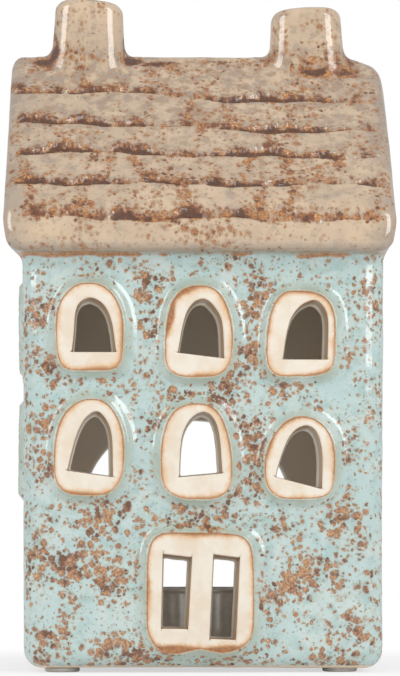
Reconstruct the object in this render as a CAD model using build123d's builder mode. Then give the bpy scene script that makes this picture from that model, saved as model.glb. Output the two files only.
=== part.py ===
from build123d import *

import os
from math import atan2, cos, degrees, hypot, pi, sin, tan

# A ceramic tealight house: a narrow two-chimney house in glazed clay, open inside, with cut
# windows and a large arch in the back wall for the candle.
# Millimetres. The origin is on the ground under the middle of the house, +X is to the right
# seen from the front, +Y goes towards the back and +Z is up.

# Floor and walls
wall_width = 82.0
wall_depth = 74.0
wall_height = 88.9  # floor slab to eaves
wall_thickness = 5.0
wall_corner_radius = 4.0
floor_thickness = 6.0
floor_edge_radius = 3.0

# Feet
foot_radius = 4.0
foot_thickness = 1.0
foot_inset = 9.0  # wall face to the middle of a foot

# Roof
verge_overhang = 3.7  # past the side walls
eave_overhang = 5.0  # past the front and back walls
eave_face_height = 8.4
peak_rise = 44.7  # top of the eave face to where the two slopes would meet
roof_thickness = 6.0
ridge_radius = 5.0
roof_edge_radius = 2.5

# Slate grooves pressed into the slopes
ridge_strip = 16.5  # plain strip between the top groove and the peak
first_groove_rise = 2.2  # up the slope from the eave
groove_width = 1.7
groove_depth = 0.9
groove_wave = 0.5  # how far a groove wanders up and down the slope
groove_count = 5
groove_steps = 6  # steps along one stretch of groove
groove_turns = 2.3  # slow waves along the roof's length
groove_ripple_turns = 6.0  # quicker, smaller waves on top of them

# Chimneys
chimney_width = 16.0
chimney_depth = 12.0
chimney_inset = 18.5  # roof's end to a chimney's middle
left_chimney_rise = 13.8  # above the ridge
right_chimney_rise = 12.2
chimney_edge_radius = 3.0
chimney_top_radius = 1.8
flue_radius = 3.5

# Windows and their bare clay frames
window_width = 10.5
window_height = 15.0  # of the tallest window
window_corner_radius = 1.2
frame_border = 3.0
frame_rounding = 1.3  # rounded shoulder outside the border
frame_thickness = 1.6

# Door: two tall panes in one frame
pane_width = 6.4
pane_height = 18.8
mullion_width = 4.6
pane_corner_radius = 0.9
pane_sill = 1.2  # above the floor slab
door_side_border = 3.5
door_top_border = 5.2
door_bottom_border = 3.4
door_corner_radius = 4.0

# Arch in the back wall
arch_width = 50.0
arch_sill = 6.8  # above the floor slab
arch_jamb_height = 22.2  # sill to where the round head springs

# Tealight
tealight_radius = 18.4  # at the cup's foot
tealight_height = 12.0
tealight_back_room = 35.0  # cup's middle to the inside of the back wall
cup_wall = 0.4
cup_flare = 0.5
cup_lip = 0.5
wax_level = 10.2  # above the cup's foot
wax_clearance = 0.1
sustainer_radius = 6.0
sustainer_thickness = 0.3
sustainer_neck_radius = 1.5
sustainer_neck_height = 3.0
wick_radius = 0.7
wick_length = 14.5

overrun = 1.0  # how far cutting shapes run past what they cut

# Shape shares, chosen by hand
shoulder_height_share = 0.66  # of an opening's height, where its round head starts
shoulder_width_share = 0.86  # of its sill width
groove_phase_share = 0.37  # of a turn, from one groove row to the next
groove_ripple_share = 0.5  # of the slow wave's height

# Each window: place across and place up as shares of the gaps between the frames, its
# height as a share of the tallest, and how far its head leans as a share of its width.
front_window_shares = {
    ("lower", "left"): (-0.06, 0.59, 0.96, 0.15),
    ("lower", "middle"): (-0.08, 0.47, 1.00, 0.13),
    ("lower", "right"): (-0.52, 0.21, 0.88, 0.20),
    ("upper", "left"): (0.10, 0.34, 0.85, -0.08),
    ("upper", "middle"): (-0.04, 0.22, 0.85, 0.10),
    ("upper", "right"): (-0.30, 0.06, 0.92, 0.23),
}
left_window_shares = {
    ("lower", "back"): (-0.05, 0.40, 0.92, 0.10),
    ("lower", "front"): (0.08, 0.30, 0.96, -0.06),
    ("upper", "back"): (0.04, 0.20, 0.88, 0.08),
    ("upper", "front"): (-0.06, 0.30, 0.90, 0.12),
}
right_window_shares = {
    ("lower", "front"): (0.06, 0.35, 0.94, 0.08),
    ("lower", "back"): (-0.04, 0.45, 0.90, -0.05),
    ("upper", "front"): (-0.08, 0.25, 0.90, 0.10),
    ("upper", "back"): (0.05, 0.15, 0.88, 0.06),
}

# Stretches of each groove row, from the eave up, as shares of the roof's length from the left
groove_shares = [
    [(0.19, 0.32), (0.34, 0.52), (0.55, 0.75), (0.81, 0.92)],
    [(0.04, 0.30), (0.35, 0.51), (0.54, 0.77), (0.80, 0.96)],
    [(0.04, 0.28), (0.31, 0.44), (0.53, 0.90)],
    [(0.04, 0.31), (0.34, 0.43), (0.57, 0.91)],
    [(0.05, 0.34), (0.55, 0.92)],
]

# Heights that the pieces share
floor_base = foot_thickness
floor_top = floor_base + floor_thickness
eave_base = floor_top + wall_height
eave_top = eave_base + eave_face_height
peak_height = eave_top + peak_rise

# Plan
half_width = wall_width / 2
half_depth = wall_depth / 2
inner_depth = wall_depth - 2 * wall_thickness
roof_length = wall_width + 2 * verge_overhang
roof_run = half_depth + eave_overhang
chimney_spacing = roof_length - 2 * chimney_inset

# Roof slope
roof_pitch = atan2(peak_rise, roof_run)
slope_length = hypot(peak_rise, roof_run)
inner_peak_height = peak_height - roof_thickness / cos(roof_pitch)
inner_eave_height = inner_peak_height - inner_depth / 2 * tan(roof_pitch)
ridge_centre_height = peak_height - ridge_radius / cos(roof_pitch)
ridge_height = ridge_centre_height + ridge_radius

# Wall faces, each seen from outside with its local Y upwards
front_face = Plane(origin=(0, -half_depth, 0), x_dir=(1, 0, 0), z_dir=(0, -1, 0))
back_face = Plane(origin=(0, half_depth, 0), x_dir=(-1, 0, 0), z_dir=(0, 1, 0))
left_face = Plane(origin=(-half_width, 0, 0), x_dir=(0, -1, 0), z_dir=(-1, 0, 0))
right_face = Plane(origin=(half_width, 0, 0), x_dir=(0, 1, 0), z_dir=(1, 0, 0))
front_slope = Plane(
    origin=(0, -roof_run, eave_top),
    x_dir=(1, 0, 0),
    z_dir=(0, -sin(roof_pitch), cos(roof_pitch)),
)

# Rows and columns of windows: equal gaps between the frames, the door and the eaves
frame_width = window_width + 2 * (frame_border + frame_rounding)
frame_height = window_height + 2 * (frame_border + frame_rounding)
door_top = floor_top + pane_sill + pane_height + door_top_border + frame_rounding
row_gap = (eave_base - door_top - 2 * frame_height) / 3
row_numbers = {"lower": 0, "upper": 1}


def window_place(face_width, columns, key, shares):
    """Place, height and lean of one window on a wall face."""
    across_share, up_share, height_share, lean_share = shares
    column_gap = (face_width - len(columns) * frame_width) / (len(columns) + 1)
    column = columns.index(key[1]) - (len(columns) - 1) / 2
    across = column * (frame_width + column_gap) + across_share * column_gap
    base = door_top + row_gap + row_numbers[key[0]] * (frame_height + row_gap)
    sill = base + frame_border + frame_rounding + up_share * row_gap
    return across, sill, height_share * window_height, lean_share * window_width


front_columns = ["left", "middle", "right"]
left_columns = ["back", "front"]
right_columns = ["front", "back"]
front_windows = {
    key: window_place(wall_width, front_columns, key, shares)
    for key, shares in front_window_shares.items()
}
left_windows = {
    key: window_place(wall_depth, left_columns, key, shares)
    for key, shares in left_window_shares.items()
}
right_windows = {
    key: window_place(wall_depth, right_columns, key, shares)
    for key, shares in right_window_shares.items()
}


def opening_outline(height, lean):
    """A window opening with a round head. The middle of its sill is at the origin."""
    sill_half = window_width / 2
    shoulder_half = sill_half * shoulder_width_share
    shoulder_lean = lean * shoulder_height_share
    shoulder = height * shoulder_height_share
    with BuildSketch() as outline:
        with BuildLine():
            Polyline(
                (shoulder_lean - shoulder_half, shoulder),
                (-sill_half, 0),
                (sill_half, 0),
                (shoulder_lean + shoulder_half, shoulder),
            )
            ThreePointArc(
                (shoulder_lean + shoulder_half, shoulder),
                (lean, height),
                (shoulder_lean - shoulder_half, shoulder),
            )
        make_face()
        fillet(outline.vertices().group_by(Axis.Y)[0], radius=window_corner_radius)
    return outline.sketch


def window_sketch(face, windows):
    """The openings of one wall."""
    with BuildSketch(face) as openings:
        for across, sill, height, lean in windows.values():
            with Locations((across, sill)):
                add(opening_outline(height, lean))
    return openings.sketch


def pane_sketch(face):
    """The two panes of the door."""
    pane_offset = (mullion_width + pane_width) / 2
    pane_middle = floor_top + pane_sill + pane_height / 2
    with BuildSketch(face) as panes:
        with Locations((-pane_offset, pane_middle), (pane_offset, pane_middle)):
            RectangleRounded(pane_width, pane_height, pane_corner_radius)
    return panes.sketch


def save(piece, name):
    """Labels a finished piece and writes it."""
    piece.part.label = name
    export_step(piece.part, f"parts/{name}.step")


os.makedirs("parts", exist_ok=True)


# Floor slab and feet
with BuildPart() as floor_slab:
    with BuildSketch(Plane.XY.offset(floor_base)):
        RectangleRounded(wall_width, wall_depth, wall_corner_radius)
    extrude(amount=floor_thickness)
    fillet(floor_slab.faces().sort_by(Axis.Z)[0].edges(), radius=floor_edge_radius)
save(floor_slab, "floor_slab")

for side, side_sign in {"left": -1, "right": 1}.items():
    for end, end_sign in {"front": -1, "back": 1}.items():
        foot_across = side_sign * (half_width - foot_inset)
        foot_along = end_sign * (half_depth - foot_inset)
        with BuildPart() as foot_pad:
            with BuildSketch(Plane.XY):
                with Locations((foot_across, foot_along)):
                    Circle(foot_radius)
            extrude(amount=foot_thickness)
        save(foot_pad, f"foot_pad_{end}_{side}")


# Front wall, with six windows and the two panes of the door
with BuildPart() as front_wall:
    with BuildSketch(front_face):
        with Locations((0, (floor_top + eave_base) / 2)):
            Rectangle(wall_width, wall_height)
    extrude(amount=-wall_thickness)
    outer_corners = front_wall.edges().filter_by(Axis.Z).group_by(Axis.Y)[0]
    fillet(outer_corners, radius=wall_corner_radius)
    cut_depth = wall_thickness + 2 * overrun
    cut_face = front_face.offset(overrun)
    extrude(window_sketch(cut_face, front_windows), amount=-cut_depth, mode=Mode.SUBTRACT)
    extrude(pane_sketch(cut_face), amount=-cut_depth, mode=Mode.SUBTRACT)
save(front_wall, "front_wall")


# Back wall, with the arch that the candle goes in through
with BuildPart() as back_wall:
    with BuildSketch(back_face):
        with Locations((0, (floor_top + eave_base) / 2)):
            Rectangle(wall_width, wall_height)
    extrude(amount=-wall_thickness)
    outer_corners = back_wall.edges().filter_by(Axis.Z).group_by(Axis.Y)[-1]
    fillet(outer_corners, radius=wall_corner_radius)
    arch_base = floor_top + arch_sill
    arch_spring = arch_base + arch_jamb_height
    with BuildSketch(back_face.offset(overrun)) as arch_opening:
        with BuildLine():
            Polyline(
                (-arch_width / 2, arch_spring),
                (-arch_width / 2, arch_base),
                (arch_width / 2, arch_base),
                (arch_width / 2, arch_spring),
            )
            ThreePointArc(
                (arch_width / 2, arch_spring),
                (0, arch_spring + arch_width / 2),
                (-arch_width / 2, arch_spring),
            )
        make_face()
        fillet(arch_opening.vertices().group_by(Axis.Y)[0], radius=wall_corner_radius)
    extrude(amount=-(wall_thickness + 2 * overrun), mode=Mode.SUBTRACT)
save(back_wall, "back_wall")


# Side walls, which rise into the gables under the roof
def side_wall(face, windows):
    with BuildPart() as wall:
        with BuildSketch(face):
            with BuildLine():
                Polyline(
                    (-inner_depth / 2, floor_top),
                    (inner_depth / 2, floor_top),
                    (inner_depth / 2, inner_eave_height),
                    (0, inner_peak_height),
                    (-inner_depth / 2, inner_eave_height),
                    close=True,
                )
            make_face()
        extrude(amount=-wall_thickness)
        openings = window_sketch(face.offset(overrun), windows)
        extrude(openings, amount=-(wall_thickness + 2 * overrun), mode=Mode.SUBTRACT)
    return wall


save(side_wall(left_face, left_windows), "left_wall")
save(side_wall(right_face, right_windows), "right_wall")


# Window frames: flat rings of bare clay with a rounded shoulder
def window_frame(face, window):
    across, sill, height, lean = window
    with BuildPart() as frame:
        with BuildSketch(face):
            with Locations((across, sill)):
                add(opening_outline(height, lean))
            offset(amount=frame_border + frame_rounding)
        extrude(amount=frame_thickness)
        outer_face = frame.faces().sort_by(Axis(face.origin, face.z_dir))[-1]
        fillet(outer_face.edges(), radius=frame_rounding)
        with BuildSketch(face.offset(-overrun)):
            with Locations((across, sill)):
                add(opening_outline(height, lean))
        extrude(amount=frame_thickness + 2 * overrun, mode=Mode.SUBTRACT)
    return frame


for wall_name, face, windows in (
    ("front", front_face, front_windows),
    ("left", left_face, left_windows),
    ("right", right_face, right_windows),
):
    for (row, column), window in windows.items():
        save(window_frame(face, window), f"window_frame_{wall_name}_{row}_{column}")


# Door frame, with a mullion between the panes
with BuildPart() as door_frame:
    door_width = 2 * (pane_width + door_side_border + frame_rounding) + mullion_width
    door_base = floor_top + pane_sill - door_bottom_border - frame_rounding
    with BuildSketch(front_face):
        with Locations((0, (door_base + door_top) / 2)):
            RectangleRounded(door_width, door_top - door_base, door_corner_radius)
    extrude(amount=frame_thickness)
    fillet(door_frame.faces().sort_by(Axis.Y)[0].edges(), radius=frame_rounding)
    panes = pane_sketch(front_face.offset(-overrun))
    extrude(panes, amount=frame_thickness + 2 * overrun, mode=Mode.SUBTRACT)
save(door_frame, "door_frame")


# Roof: two slabs that meet at the ridge, each with a thick eave on its wall
ridge_tangent = (
    -ridge_radius * sin(roof_pitch),
    ridge_centre_height + ridge_radius * cos(roof_pitch),
)
ridge_bend = (
    -ridge_radius * sin(roof_pitch / 2),
    ridge_centre_height + ridge_radius * cos(roof_pitch / 2),
)
ridge_top = (0, ridge_height)


def groove_line(start, end, row):
    """A groove's wandering middle line, from one end share to the other."""
    rise = first_groove_rise + row * (slope_length - ridge_strip) / (groove_count - 1)
    points = []
    for step in range(groove_steps + 1):
        share = start + (end - start) * step / groove_steps
        phase = groove_phase_share * row
        slow = sin(2 * pi * (groove_turns * share + phase))
        ripple = sin(2 * pi * (groove_ripple_turns * share + phase))
        wave = groove_wave * (slow + groove_ripple_share * ripple)
        points.append(((share - 0.5) * roof_length, rise + wave))
    return points


with BuildPart() as roof_front:
    with BuildSketch(Plane.YZ):
        with BuildLine():
            Polyline(
                ridge_top,
                (0, inner_peak_height),
                (-inner_depth / 2, inner_eave_height),
                (-inner_depth / 2, eave_base),
                (-roof_run, eave_base),
                (-roof_run, eave_top),
                ridge_tangent,
            )
            ThreePointArc(ridge_tangent, ridge_bend, ridge_top)
        make_face()
    extrude(amount=roof_length / 2, both=True)
    slope = roof_front.faces().sort_by(SortBy.AREA)[-1]
    ridge_round = roof_front.faces().filter_by(GeomType.CYLINDER)[0]
    eave_face = roof_front.faces().sort_by(Axis.Y)[0]
    soft_edges = eave_face.edges()
    for face in (slope, ridge_round):
        ends = face.edges().sort_by(Axis.X)
        soft_edges += [ends[0], ends[-1]]
    fillet(soft_edges, radius=roof_edge_radius)
    for row, stretches in enumerate(groove_shares):
        for start, end in stretches:
            with BuildSketch(front_slope.offset(overrun)):
                with BuildLine():
                    Spline(*groove_line(start, end, row))
                trace(line_width=groove_width)
            extrude(amount=-(groove_depth + overrun), mode=Mode.SUBTRACT)
    with BuildSketch(Plane.XY.offset(inner_eave_height)):
        with Locations((-chimney_spacing / 2, 0), (chimney_spacing / 2, 0)):
            Circle(flue_radius)
    extrude(amount=ridge_height - inner_eave_height + overrun, mode=Mode.SUBTRACT)
save(roof_front, "roof_front")

with BuildPart() as roof_back:
    mirror(roof_front.part, about=Plane.XZ)
save(roof_back, "roof_back")


# Chimneys, saddled over the ridge, each with an open flue
def chimney(across, rise):
    base = peak_height - chimney_depth / 2 * tan(roof_pitch) - overrun
    top = ridge_height + rise
    with BuildPart() as stack:
        with BuildSketch(Plane.XY.offset(base)):
            with Locations((across, 0)):
                RectangleRounded(chimney_width, chimney_depth, chimney_edge_radius)
        extrude(amount=top - base)
        fillet(stack.faces().sort_by(Axis.Z)[-1].edges(), radius=chimney_top_radius)
        with BuildSketch(Plane.YZ.offset(across)):
            with BuildLine():
                right_tangent = (-ridge_tangent[0], ridge_tangent[1])
                ThreePointArc(ridge_tangent, ridge_top, right_tangent)
                Polyline(
                    right_tangent,
                    (roof_run, eave_top),
                    (-roof_run, eave_top),
                    ridge_tangent,
                )
            make_face()
        extrude(amount=chimney_width / 2 + overrun, both=True, mode=Mode.SUBTRACT)
        with BuildSketch(Plane.XY.offset(base)):
            with Locations((across, 0)):
                Circle(flue_radius)
        extrude(amount=top - base + overrun, mode=Mode.SUBTRACT)
    return stack


save(chimney(-chimney_spacing / 2, left_chimney_rise), "chimney_left")
save(chimney(chimney_spacing / 2, right_chimney_rise), "chimney_right")


# Tealight, standing on the floor slab and lifted out through the arch
tealight_along = inner_depth / 2 - tealight_back_room
tealight_section = Plane(
    origin=(0, tealight_along, floor_top), x_dir=(1, 0, 0), z_dir=(0, -1, 0)
)
tealight_axis = Axis((0, tealight_along, floor_top), (0, 0, 1))
cup_top_radius = tealight_radius + cup_flare

with BuildPart() as tealight_cup:
    with BuildSketch(tealight_section):
        with BuildLine():
            Polyline(
                (0, 0),
                (tealight_radius, 0),
                (cup_top_radius, tealight_height - cup_lip),
                (cup_top_radius + cup_lip, tealight_height - cup_lip),
                (cup_top_radius + cup_lip, tealight_height),
                (cup_top_radius - cup_wall, tealight_height),
                (tealight_radius - cup_wall, cup_wall),
                (0, cup_wall),
                close=True,
            )
        make_face()
    revolve(axis=tealight_axis)
save(tealight_cup, "tealight_cup")

wax_base_radius = tealight_radius - cup_wall - wax_clearance
wax_flare = cup_flare * (wax_level - cup_wall) / (tealight_height - cup_wall)
wax_top_radius = wax_base_radius + wax_flare
sustainer_top = cup_wall + sustainer_thickness
neck_top = sustainer_top + sustainer_neck_height
wick_hole = wick_radius + wax_clearance
with BuildPart() as tealight_wax:
    with BuildSketch(tealight_section):
        with BuildLine():
            Polyline(
                (sustainer_radius + wax_clearance, cup_wall),
                (wax_base_radius, cup_wall),
                (wax_top_radius, wax_level),
                (wick_hole, wax_level),
                (wick_hole, neck_top + wax_clearance),
                (sustainer_neck_radius + wax_clearance, neck_top + wax_clearance),
                (sustainer_neck_radius + wax_clearance, sustainer_top + wax_clearance),
                (sustainer_radius + wax_clearance, sustainer_top + wax_clearance),
                close=True,
            )
        make_face()
    revolve(axis=tealight_axis)
save(tealight_wax, "tealight_wax")

with BuildPart() as wick_sustainer:
    with BuildSketch(tealight_section):
        with BuildLine():
            Polyline(
                (0, cup_wall),
                (sustainer_radius, cup_wall),
                (sustainer_radius, sustainer_top),
                (sustainer_neck_radius, sustainer_top),
                (sustainer_neck_radius, neck_top),
                (wick_radius, neck_top),
                (wick_radius, sustainer_top),
                (0, sustainer_top),
                close=True,
            )
        make_face()
    revolve(axis=tealight_axis)
save(wick_sustainer, "wick_sustainer")

with BuildPart() as tealight_wick:
    with BuildSketch(Plane.XY.offset(floor_top + sustainer_top)):
        with Locations((0, tealight_along)):
            Circle(wick_radius)
    extrude(amount=wick_length)
save(tealight_wick, "tealight_wick")

print("roof pitch", round(degrees(roof_pitch), 1), "ridge", round(ridge_height, 1))
print("row gap", round(row_gap, 2), "whole height", round(ridge_height + left_chimney_rise, 1))
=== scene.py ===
import math

import bpy
import numpy as np
import openvdb
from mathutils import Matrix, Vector


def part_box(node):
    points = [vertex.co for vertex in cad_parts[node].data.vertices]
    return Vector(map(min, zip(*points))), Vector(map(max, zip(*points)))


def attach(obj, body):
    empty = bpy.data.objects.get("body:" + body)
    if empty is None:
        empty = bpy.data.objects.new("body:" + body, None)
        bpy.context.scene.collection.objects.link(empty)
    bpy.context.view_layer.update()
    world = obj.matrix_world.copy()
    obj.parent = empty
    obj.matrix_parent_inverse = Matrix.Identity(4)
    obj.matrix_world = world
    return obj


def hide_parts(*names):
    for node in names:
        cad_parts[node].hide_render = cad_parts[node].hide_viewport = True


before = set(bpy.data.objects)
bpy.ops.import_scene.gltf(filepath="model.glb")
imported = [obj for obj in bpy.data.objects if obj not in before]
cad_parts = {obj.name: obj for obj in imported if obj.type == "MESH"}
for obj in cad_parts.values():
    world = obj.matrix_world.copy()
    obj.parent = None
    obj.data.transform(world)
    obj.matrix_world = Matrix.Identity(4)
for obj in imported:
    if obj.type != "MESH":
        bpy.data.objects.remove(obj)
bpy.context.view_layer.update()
mm = 0.001
print("frame loaded:", len(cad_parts), "nodes")


# Sizes, in millimetres

def cadSpan(node):
    low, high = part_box(node)
    return np.array(low) / mm, np.array(high) / mm


slabLow, slabHigh = cadSpan("floor_slab")
wallHigh, sideHigh = cadSpan("front_wall")[1], cadSpan("left_wall")[1]
roofLow, roofHigh = cadSpan("roof_front")

shell = {
    "halfWidth": slabHigh[0],
    "halfDepth": slabHigh[1],
    "base": slabLow[2],
    "floorTop": slabHigh[2],
    "eave": wallHigh[2],
    "innerX": -sideHigh[0],
    "innerY": -wallHigh[1],
    "innerPeak": sideHigh[2],
    "cornerRadius": 5.4,
    "baseRadius": 4.2,
    "widening": 0.6,  # each side at the eave
    "narrowing": 0.5,  # each side, from the eave down to the base
    "leanRight": 0.38,  # the body sits a little to the right
    "mouldRadius": 2.5,  # inside corners
    "unevenness": 0.28,
    "ripple": 0.05,
}
roof = {
    "halfLength": roofHigh[0],
    "run": -roofLow[1],
    "top": roofHigh[2],
    "eaveFace": 8.4,
    "peakRise": 44.7,
    "thickness": 6.0,
    "ridgeSoftness": 1.6,
    "eaveRadius": 3.4,
    "vergeRadius": 3.0,
    "undersideRadius": 2.6,
    "blend": 2.6,  # fillet under the eave
    "eaveSlip": 0.5,  # the roof sits a little to the left at the eave
    "ridgeSlip": 0.25,
    "endsOut": 0.15,  # the ends stand out a little, and curl in below the eave
    "endsCurl": 0.02,
    "backTaper": 1.9,  # the back eave is shorter at each end
    "rightSag": 3.2,  # how far the ridge drops at its right end
    "sagFrom": 33,
    "sagOver": 11,
    "sagBelow": 16,
    "seamDrop": 2.8,  # how far the roof's glaze runs down the walls
}
roof["pitch"] = math.atan2(roof["peakRise"], roof["run"])
roof["eaveTop"] = shell["eave"] + roof["eaveFace"]
slopeSin, slopeCos = math.sin(roof["pitch"]), math.cos(roof["pitch"])
slopeLength = math.hypot(roof["peakRise"], roof["run"])

frames = {
    "height": 1.6,
    "sideShares": {"front": 1.0, "left": 0.86, "right": 0.55},  # the side windows' rings stand lower
    "ringWidth": 2.25,
    "rightSlope": 1.0,
    "bead": 0.14,  # lip of glaze beside the bare clay
    "beadAt": 0.32,
    "beadWidth": 0.28,
    "bareDrop": 0.12,  # bare clay lies lower than the lip
    "backing": 0.8,  # how deep a bare pad is let into its ring
    "cutSlant": (0.05, 0.05),  # the knife was held a little off square
    "cutTaper": 0.12,
    "frontNick": (0.7, 0.34),  # how far the knife ran past a corner, and how broad it cut
    "doorNick": (1.1, 0.34),
    "sideNick": (0.5, 0.22),
}
chimneys = {
    "chimney_left": {"centre": (-26.15, 0.0), "half": (8.5, 6.1), "lean": 0.02, "topTilt": 0.075},
    "chimney_right": {"centre": (26.15, 0.0), "half": (8.7, 6.1), "lean": -0.02, "topTilt": -0.06},
}
chimneySoft = {
    "corner": 5.2, "top": 2.7, "foot": 2.3,
    "spread": 0.035, "flare": 0.0016, "flareReach": 14,  # wider towards the foot
    "flue": 3.5, "flueRim": 0.5, "flueDepth": 20,
    "ground": (11.5, 8.5),  # half of the patch of shell that goes with a stack
}


# Front windows: the bare pad as centre, half width, rise, drop, lean and how square its head
# and foot are, and the cut as points from its lower left corner over its head
frontWindows = {
    "upper_left": {
        "pad": (-25.7, 76.0, 7.6, 12.8, 7.1, -0.02, 2.45, 4.1),
        "cut": [(-29.9, 73.0), (-29.4, 77.3), (-29.0, 82.2), (-27.8, 84.6), (-25.2, 85.5),
                (-22.3, 83.7), (-20.6, 79.8), (-19.6, 73.0)],
    },
    "upper_middle": {
        "pad": (-1.0, 75.0, 7.65, 13.4, 7.5, 0.02, 2.3, 3.5),
        "cut": [(-5.7, 72.9), (-4.7, 78.6), (-3.5, 82.6), (-1.6, 84.8), (0.8, 85.2),
                (3.1, 83.1), (4.6, 79.6), (5.0, 71.6)],
    },
    "upper_right": {
        "pad": (22.4, 75.0, 7.8, 12.05, 7.4, 0.04, 2.9, 3.7),
        "cut": [(18.2, 71.4), (19.1, 77.3), (20.3, 81.2), (22.6, 84.0), (25.7, 85.1),
                (28.0, 83.2), (28.8, 79.8), (28.6, 71.4)],
    },
    "lower_left": {
        "pad": (-25.9, 48.5, 7.9, 13.5, 8.2, 0.03, 2.5, 2.7),
        "cut": [(-30.9, 46.0), (-29.6, 51.3), (-28.4, 55.1), (-26.6, 58.2), (-24.1, 59.6),
                (-22.0, 57.9), (-20.6, 53.9), (-20.3, 44.5)],
    },
    "lower_middle": {
        "pad": (-1.4, 48.5, 8.0, 12.8, 8.9, -0.03, 2.3, 3.4),
        "cut": [(-5.4, 44.5), (-5.1, 51.3), (-4.3, 55.3), (-2.4, 58.3), (0.3, 59.5),
                (2.6, 58.0), (3.9, 54.0), (4.6, 45.4)],
    },
    "lower_right": {
        "pad": (22.3, 47.0, 7.95, 11.4, 7.3, 0.03, 2.1, 3.4),
        "cut": [(16.5, 44.6), (17.6, 48.7), (19.4, 53.2), (21.5, 55.7), (24.2, 56.4),
                (26.4, 54.4), (27.4, 49.7), (27.3, 41.8)],
    },
}
door = {
    "pad": (-0.6, 19.0, 12.15, 13.1, 14.2, 0.0, 4.4, 5.4),
    "notch": (-0.9, 1.8, 1.3),  # where the pad's foot is drawn up: middle, width, height
    "leftPane": [(-9.5, 10.1), (-9.1, 27.2), (-2.3, 26.4), (-3.2, 10.0)],
    "rightPane": [(1.5, 7.8), (2.4, 27.1), (8.6, 26.3), (7.7, 7.5)],
}
arch = {
    "middle": -1.6, "halfWidth": 26.3, "sill": 6.8, "jamb": 22.2,
    "rise": 24.7, "squareness": 2.25, "corner": 4.0,
}


# Soft clay shapes as distance fields: negative inside, positive outside

def smoothMin(a, b, width):
    share = np.clip(0.5 + 0.5 * (b - a) / width, 0, 1)
    return b + (a - b) * share - width * share * (1 - share)


def smoothMax(a, b, width):
    return -smoothMin(-a, -b, width)


def roundCorner(a, b, radius):  # both inside, with a true radius where they meet
    outer = np.hypot(np.maximum(a + radius, 0), np.maximum(b + radius, 0))
    return np.minimum(np.maximum(a, b), -radius) + outer


def roundPlan(pastX, pastY, radius):  # an upright block with round corners, seen from above
    pastX, pastY = pastX + radius, pastY + radius
    corner = np.hypot(pastX.clip(0), pastY.clip(0))
    return np.minimum(np.maximum(pastX, pastY), 0) + corner - radius


def fade(value, start, end):
    share = np.clip((value - start) / (end - start), 0, 1)
    return share * share * (3 - 2 * share)


def wavesOf(seed, count, size):
    dice = np.random.default_rng(seed)
    waves = []
    for _ in range(count):
        heading = dice.normal(size=3)
        heading *= 2 * math.pi / size * dice.uniform(0.6, 1.5) / np.linalg.norm(heading)
        waves.append((*heading, dice.uniform(0, 2 * math.pi)))
    return waves


slowWaves = wavesOf(4, 5, 46)
quickWaves = wavesOf(9, 4, 7)


def handMade(x, y, z):  # slow unevenness and a finer ripple of the glaze
    slow = sum(np.sin(a * x + b * y + c * z + d) for a, b, c, d in slowWaves) / len(slowWaves)
    quick = sum(np.sin(a * x + b * y + c * z + d) for a, b, c, d in quickWaves) / len(quickWaves)
    return shell["unevenness"] * slow + shell["ripple"] * quick


# Outlines on the wall faces

def curveThrough(points, sharp, steps=6):
    count, out = len(points), []
    spots = [np.array(p, float) for p in points]
    for i in range(count):
        before, a, b, after = spots[i - 1], spots[i], spots[(i + 1) % count], spots[(i + 2) % count]
        before = a if i in sharp else before
        after = b if (i + 1) % count in sharp else after
        for step in range(steps):
            t = step / steps
            bend = (2 * before - 5 * a + 4 * b - after) * t * t
            twist = (3 * a - before - 3 * b + after) * t ** 3
            out.append(0.5 * (2 * a + (b - before) * t + bend + twist))
    return np.array(out)


def padLoop(middle, height, half, rise, drop, lean, headPower, footPower, notch=None, seed=0):
    turn = np.linspace(0, 2 * math.pi, 84, endpoint=False)
    cosine, sine = np.cos(turn), np.sin(turn)
    power = 2 / np.where(sine > 0, headPower, footPower)
    up = np.where(sine > 0, rise, drop) * np.sign(sine) * np.abs(sine) ** power
    across = half * np.sign(cosine) * np.abs(cosine) ** power + lean * up
    if notch:
        spot, width, depth = notch
        up += np.where(sine < 0, depth * np.exp(-((across - spot) / width) ** 2), 0)
    shake = 1 + 0.012 * np.sin(3 * turn + seed) + 0.010 * np.sin(5 * turn + 2.3 * seed)
    return np.stack([middle + across * shake, height + up * shake], 1)


def nicked(points, corners, reach, breadth):  # the knife ran past the corners
    out, count = [], len(points)
    for i, spot in enumerate(points):
        here = np.array(spot, float)
        if i not in corners:
            out.append((here, False))
            continue
        back = np.array(points[i - 1], float) - here
        ahead = np.array(points[(i + 1) % count], float) - here
        back /= np.linalg.norm(back)
        ahead /= np.linalg.norm(ahead)
        run = ahead if corners[i] == "back" else back
        tip = here - run * reach
        out += [(here + back * breadth, True), (tip, True), (here + ahead * breadth, True)]
    return [p for p, _ in out], {i for i, (_, isSharp) in enumerate(out) if isSharp}


def outlineDistance(u, v, loop):
    nearest = np.full(np.broadcast(u, v).shape, 1e6)
    inside = np.zeros(nearest.shape, bool)
    for (au, av), (bu, bv) in zip(loop, np.roll(loop, -1, 0)):
        runU, runV = bu - au, bv - av
        t = np.clip(((u - au) * runU + (v - av) * runV) / (runU ** 2 + runV ** 2 + 1e-9), 0, 1)
        nearest = np.minimum(nearest, (u - au - runU * t) ** 2 + (v - av - runV * t) ** 2)
        if abs(runV) > 1e-9:
            inside ^= ((av > v) != (bv > v)) & (u < au + (v - av) * runU / runV)
    return np.where(inside, -1, 1) * np.sqrt(nearest)


mapStep = 0.2
mapSpan = 48.0
mapFar = 9.0


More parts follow.
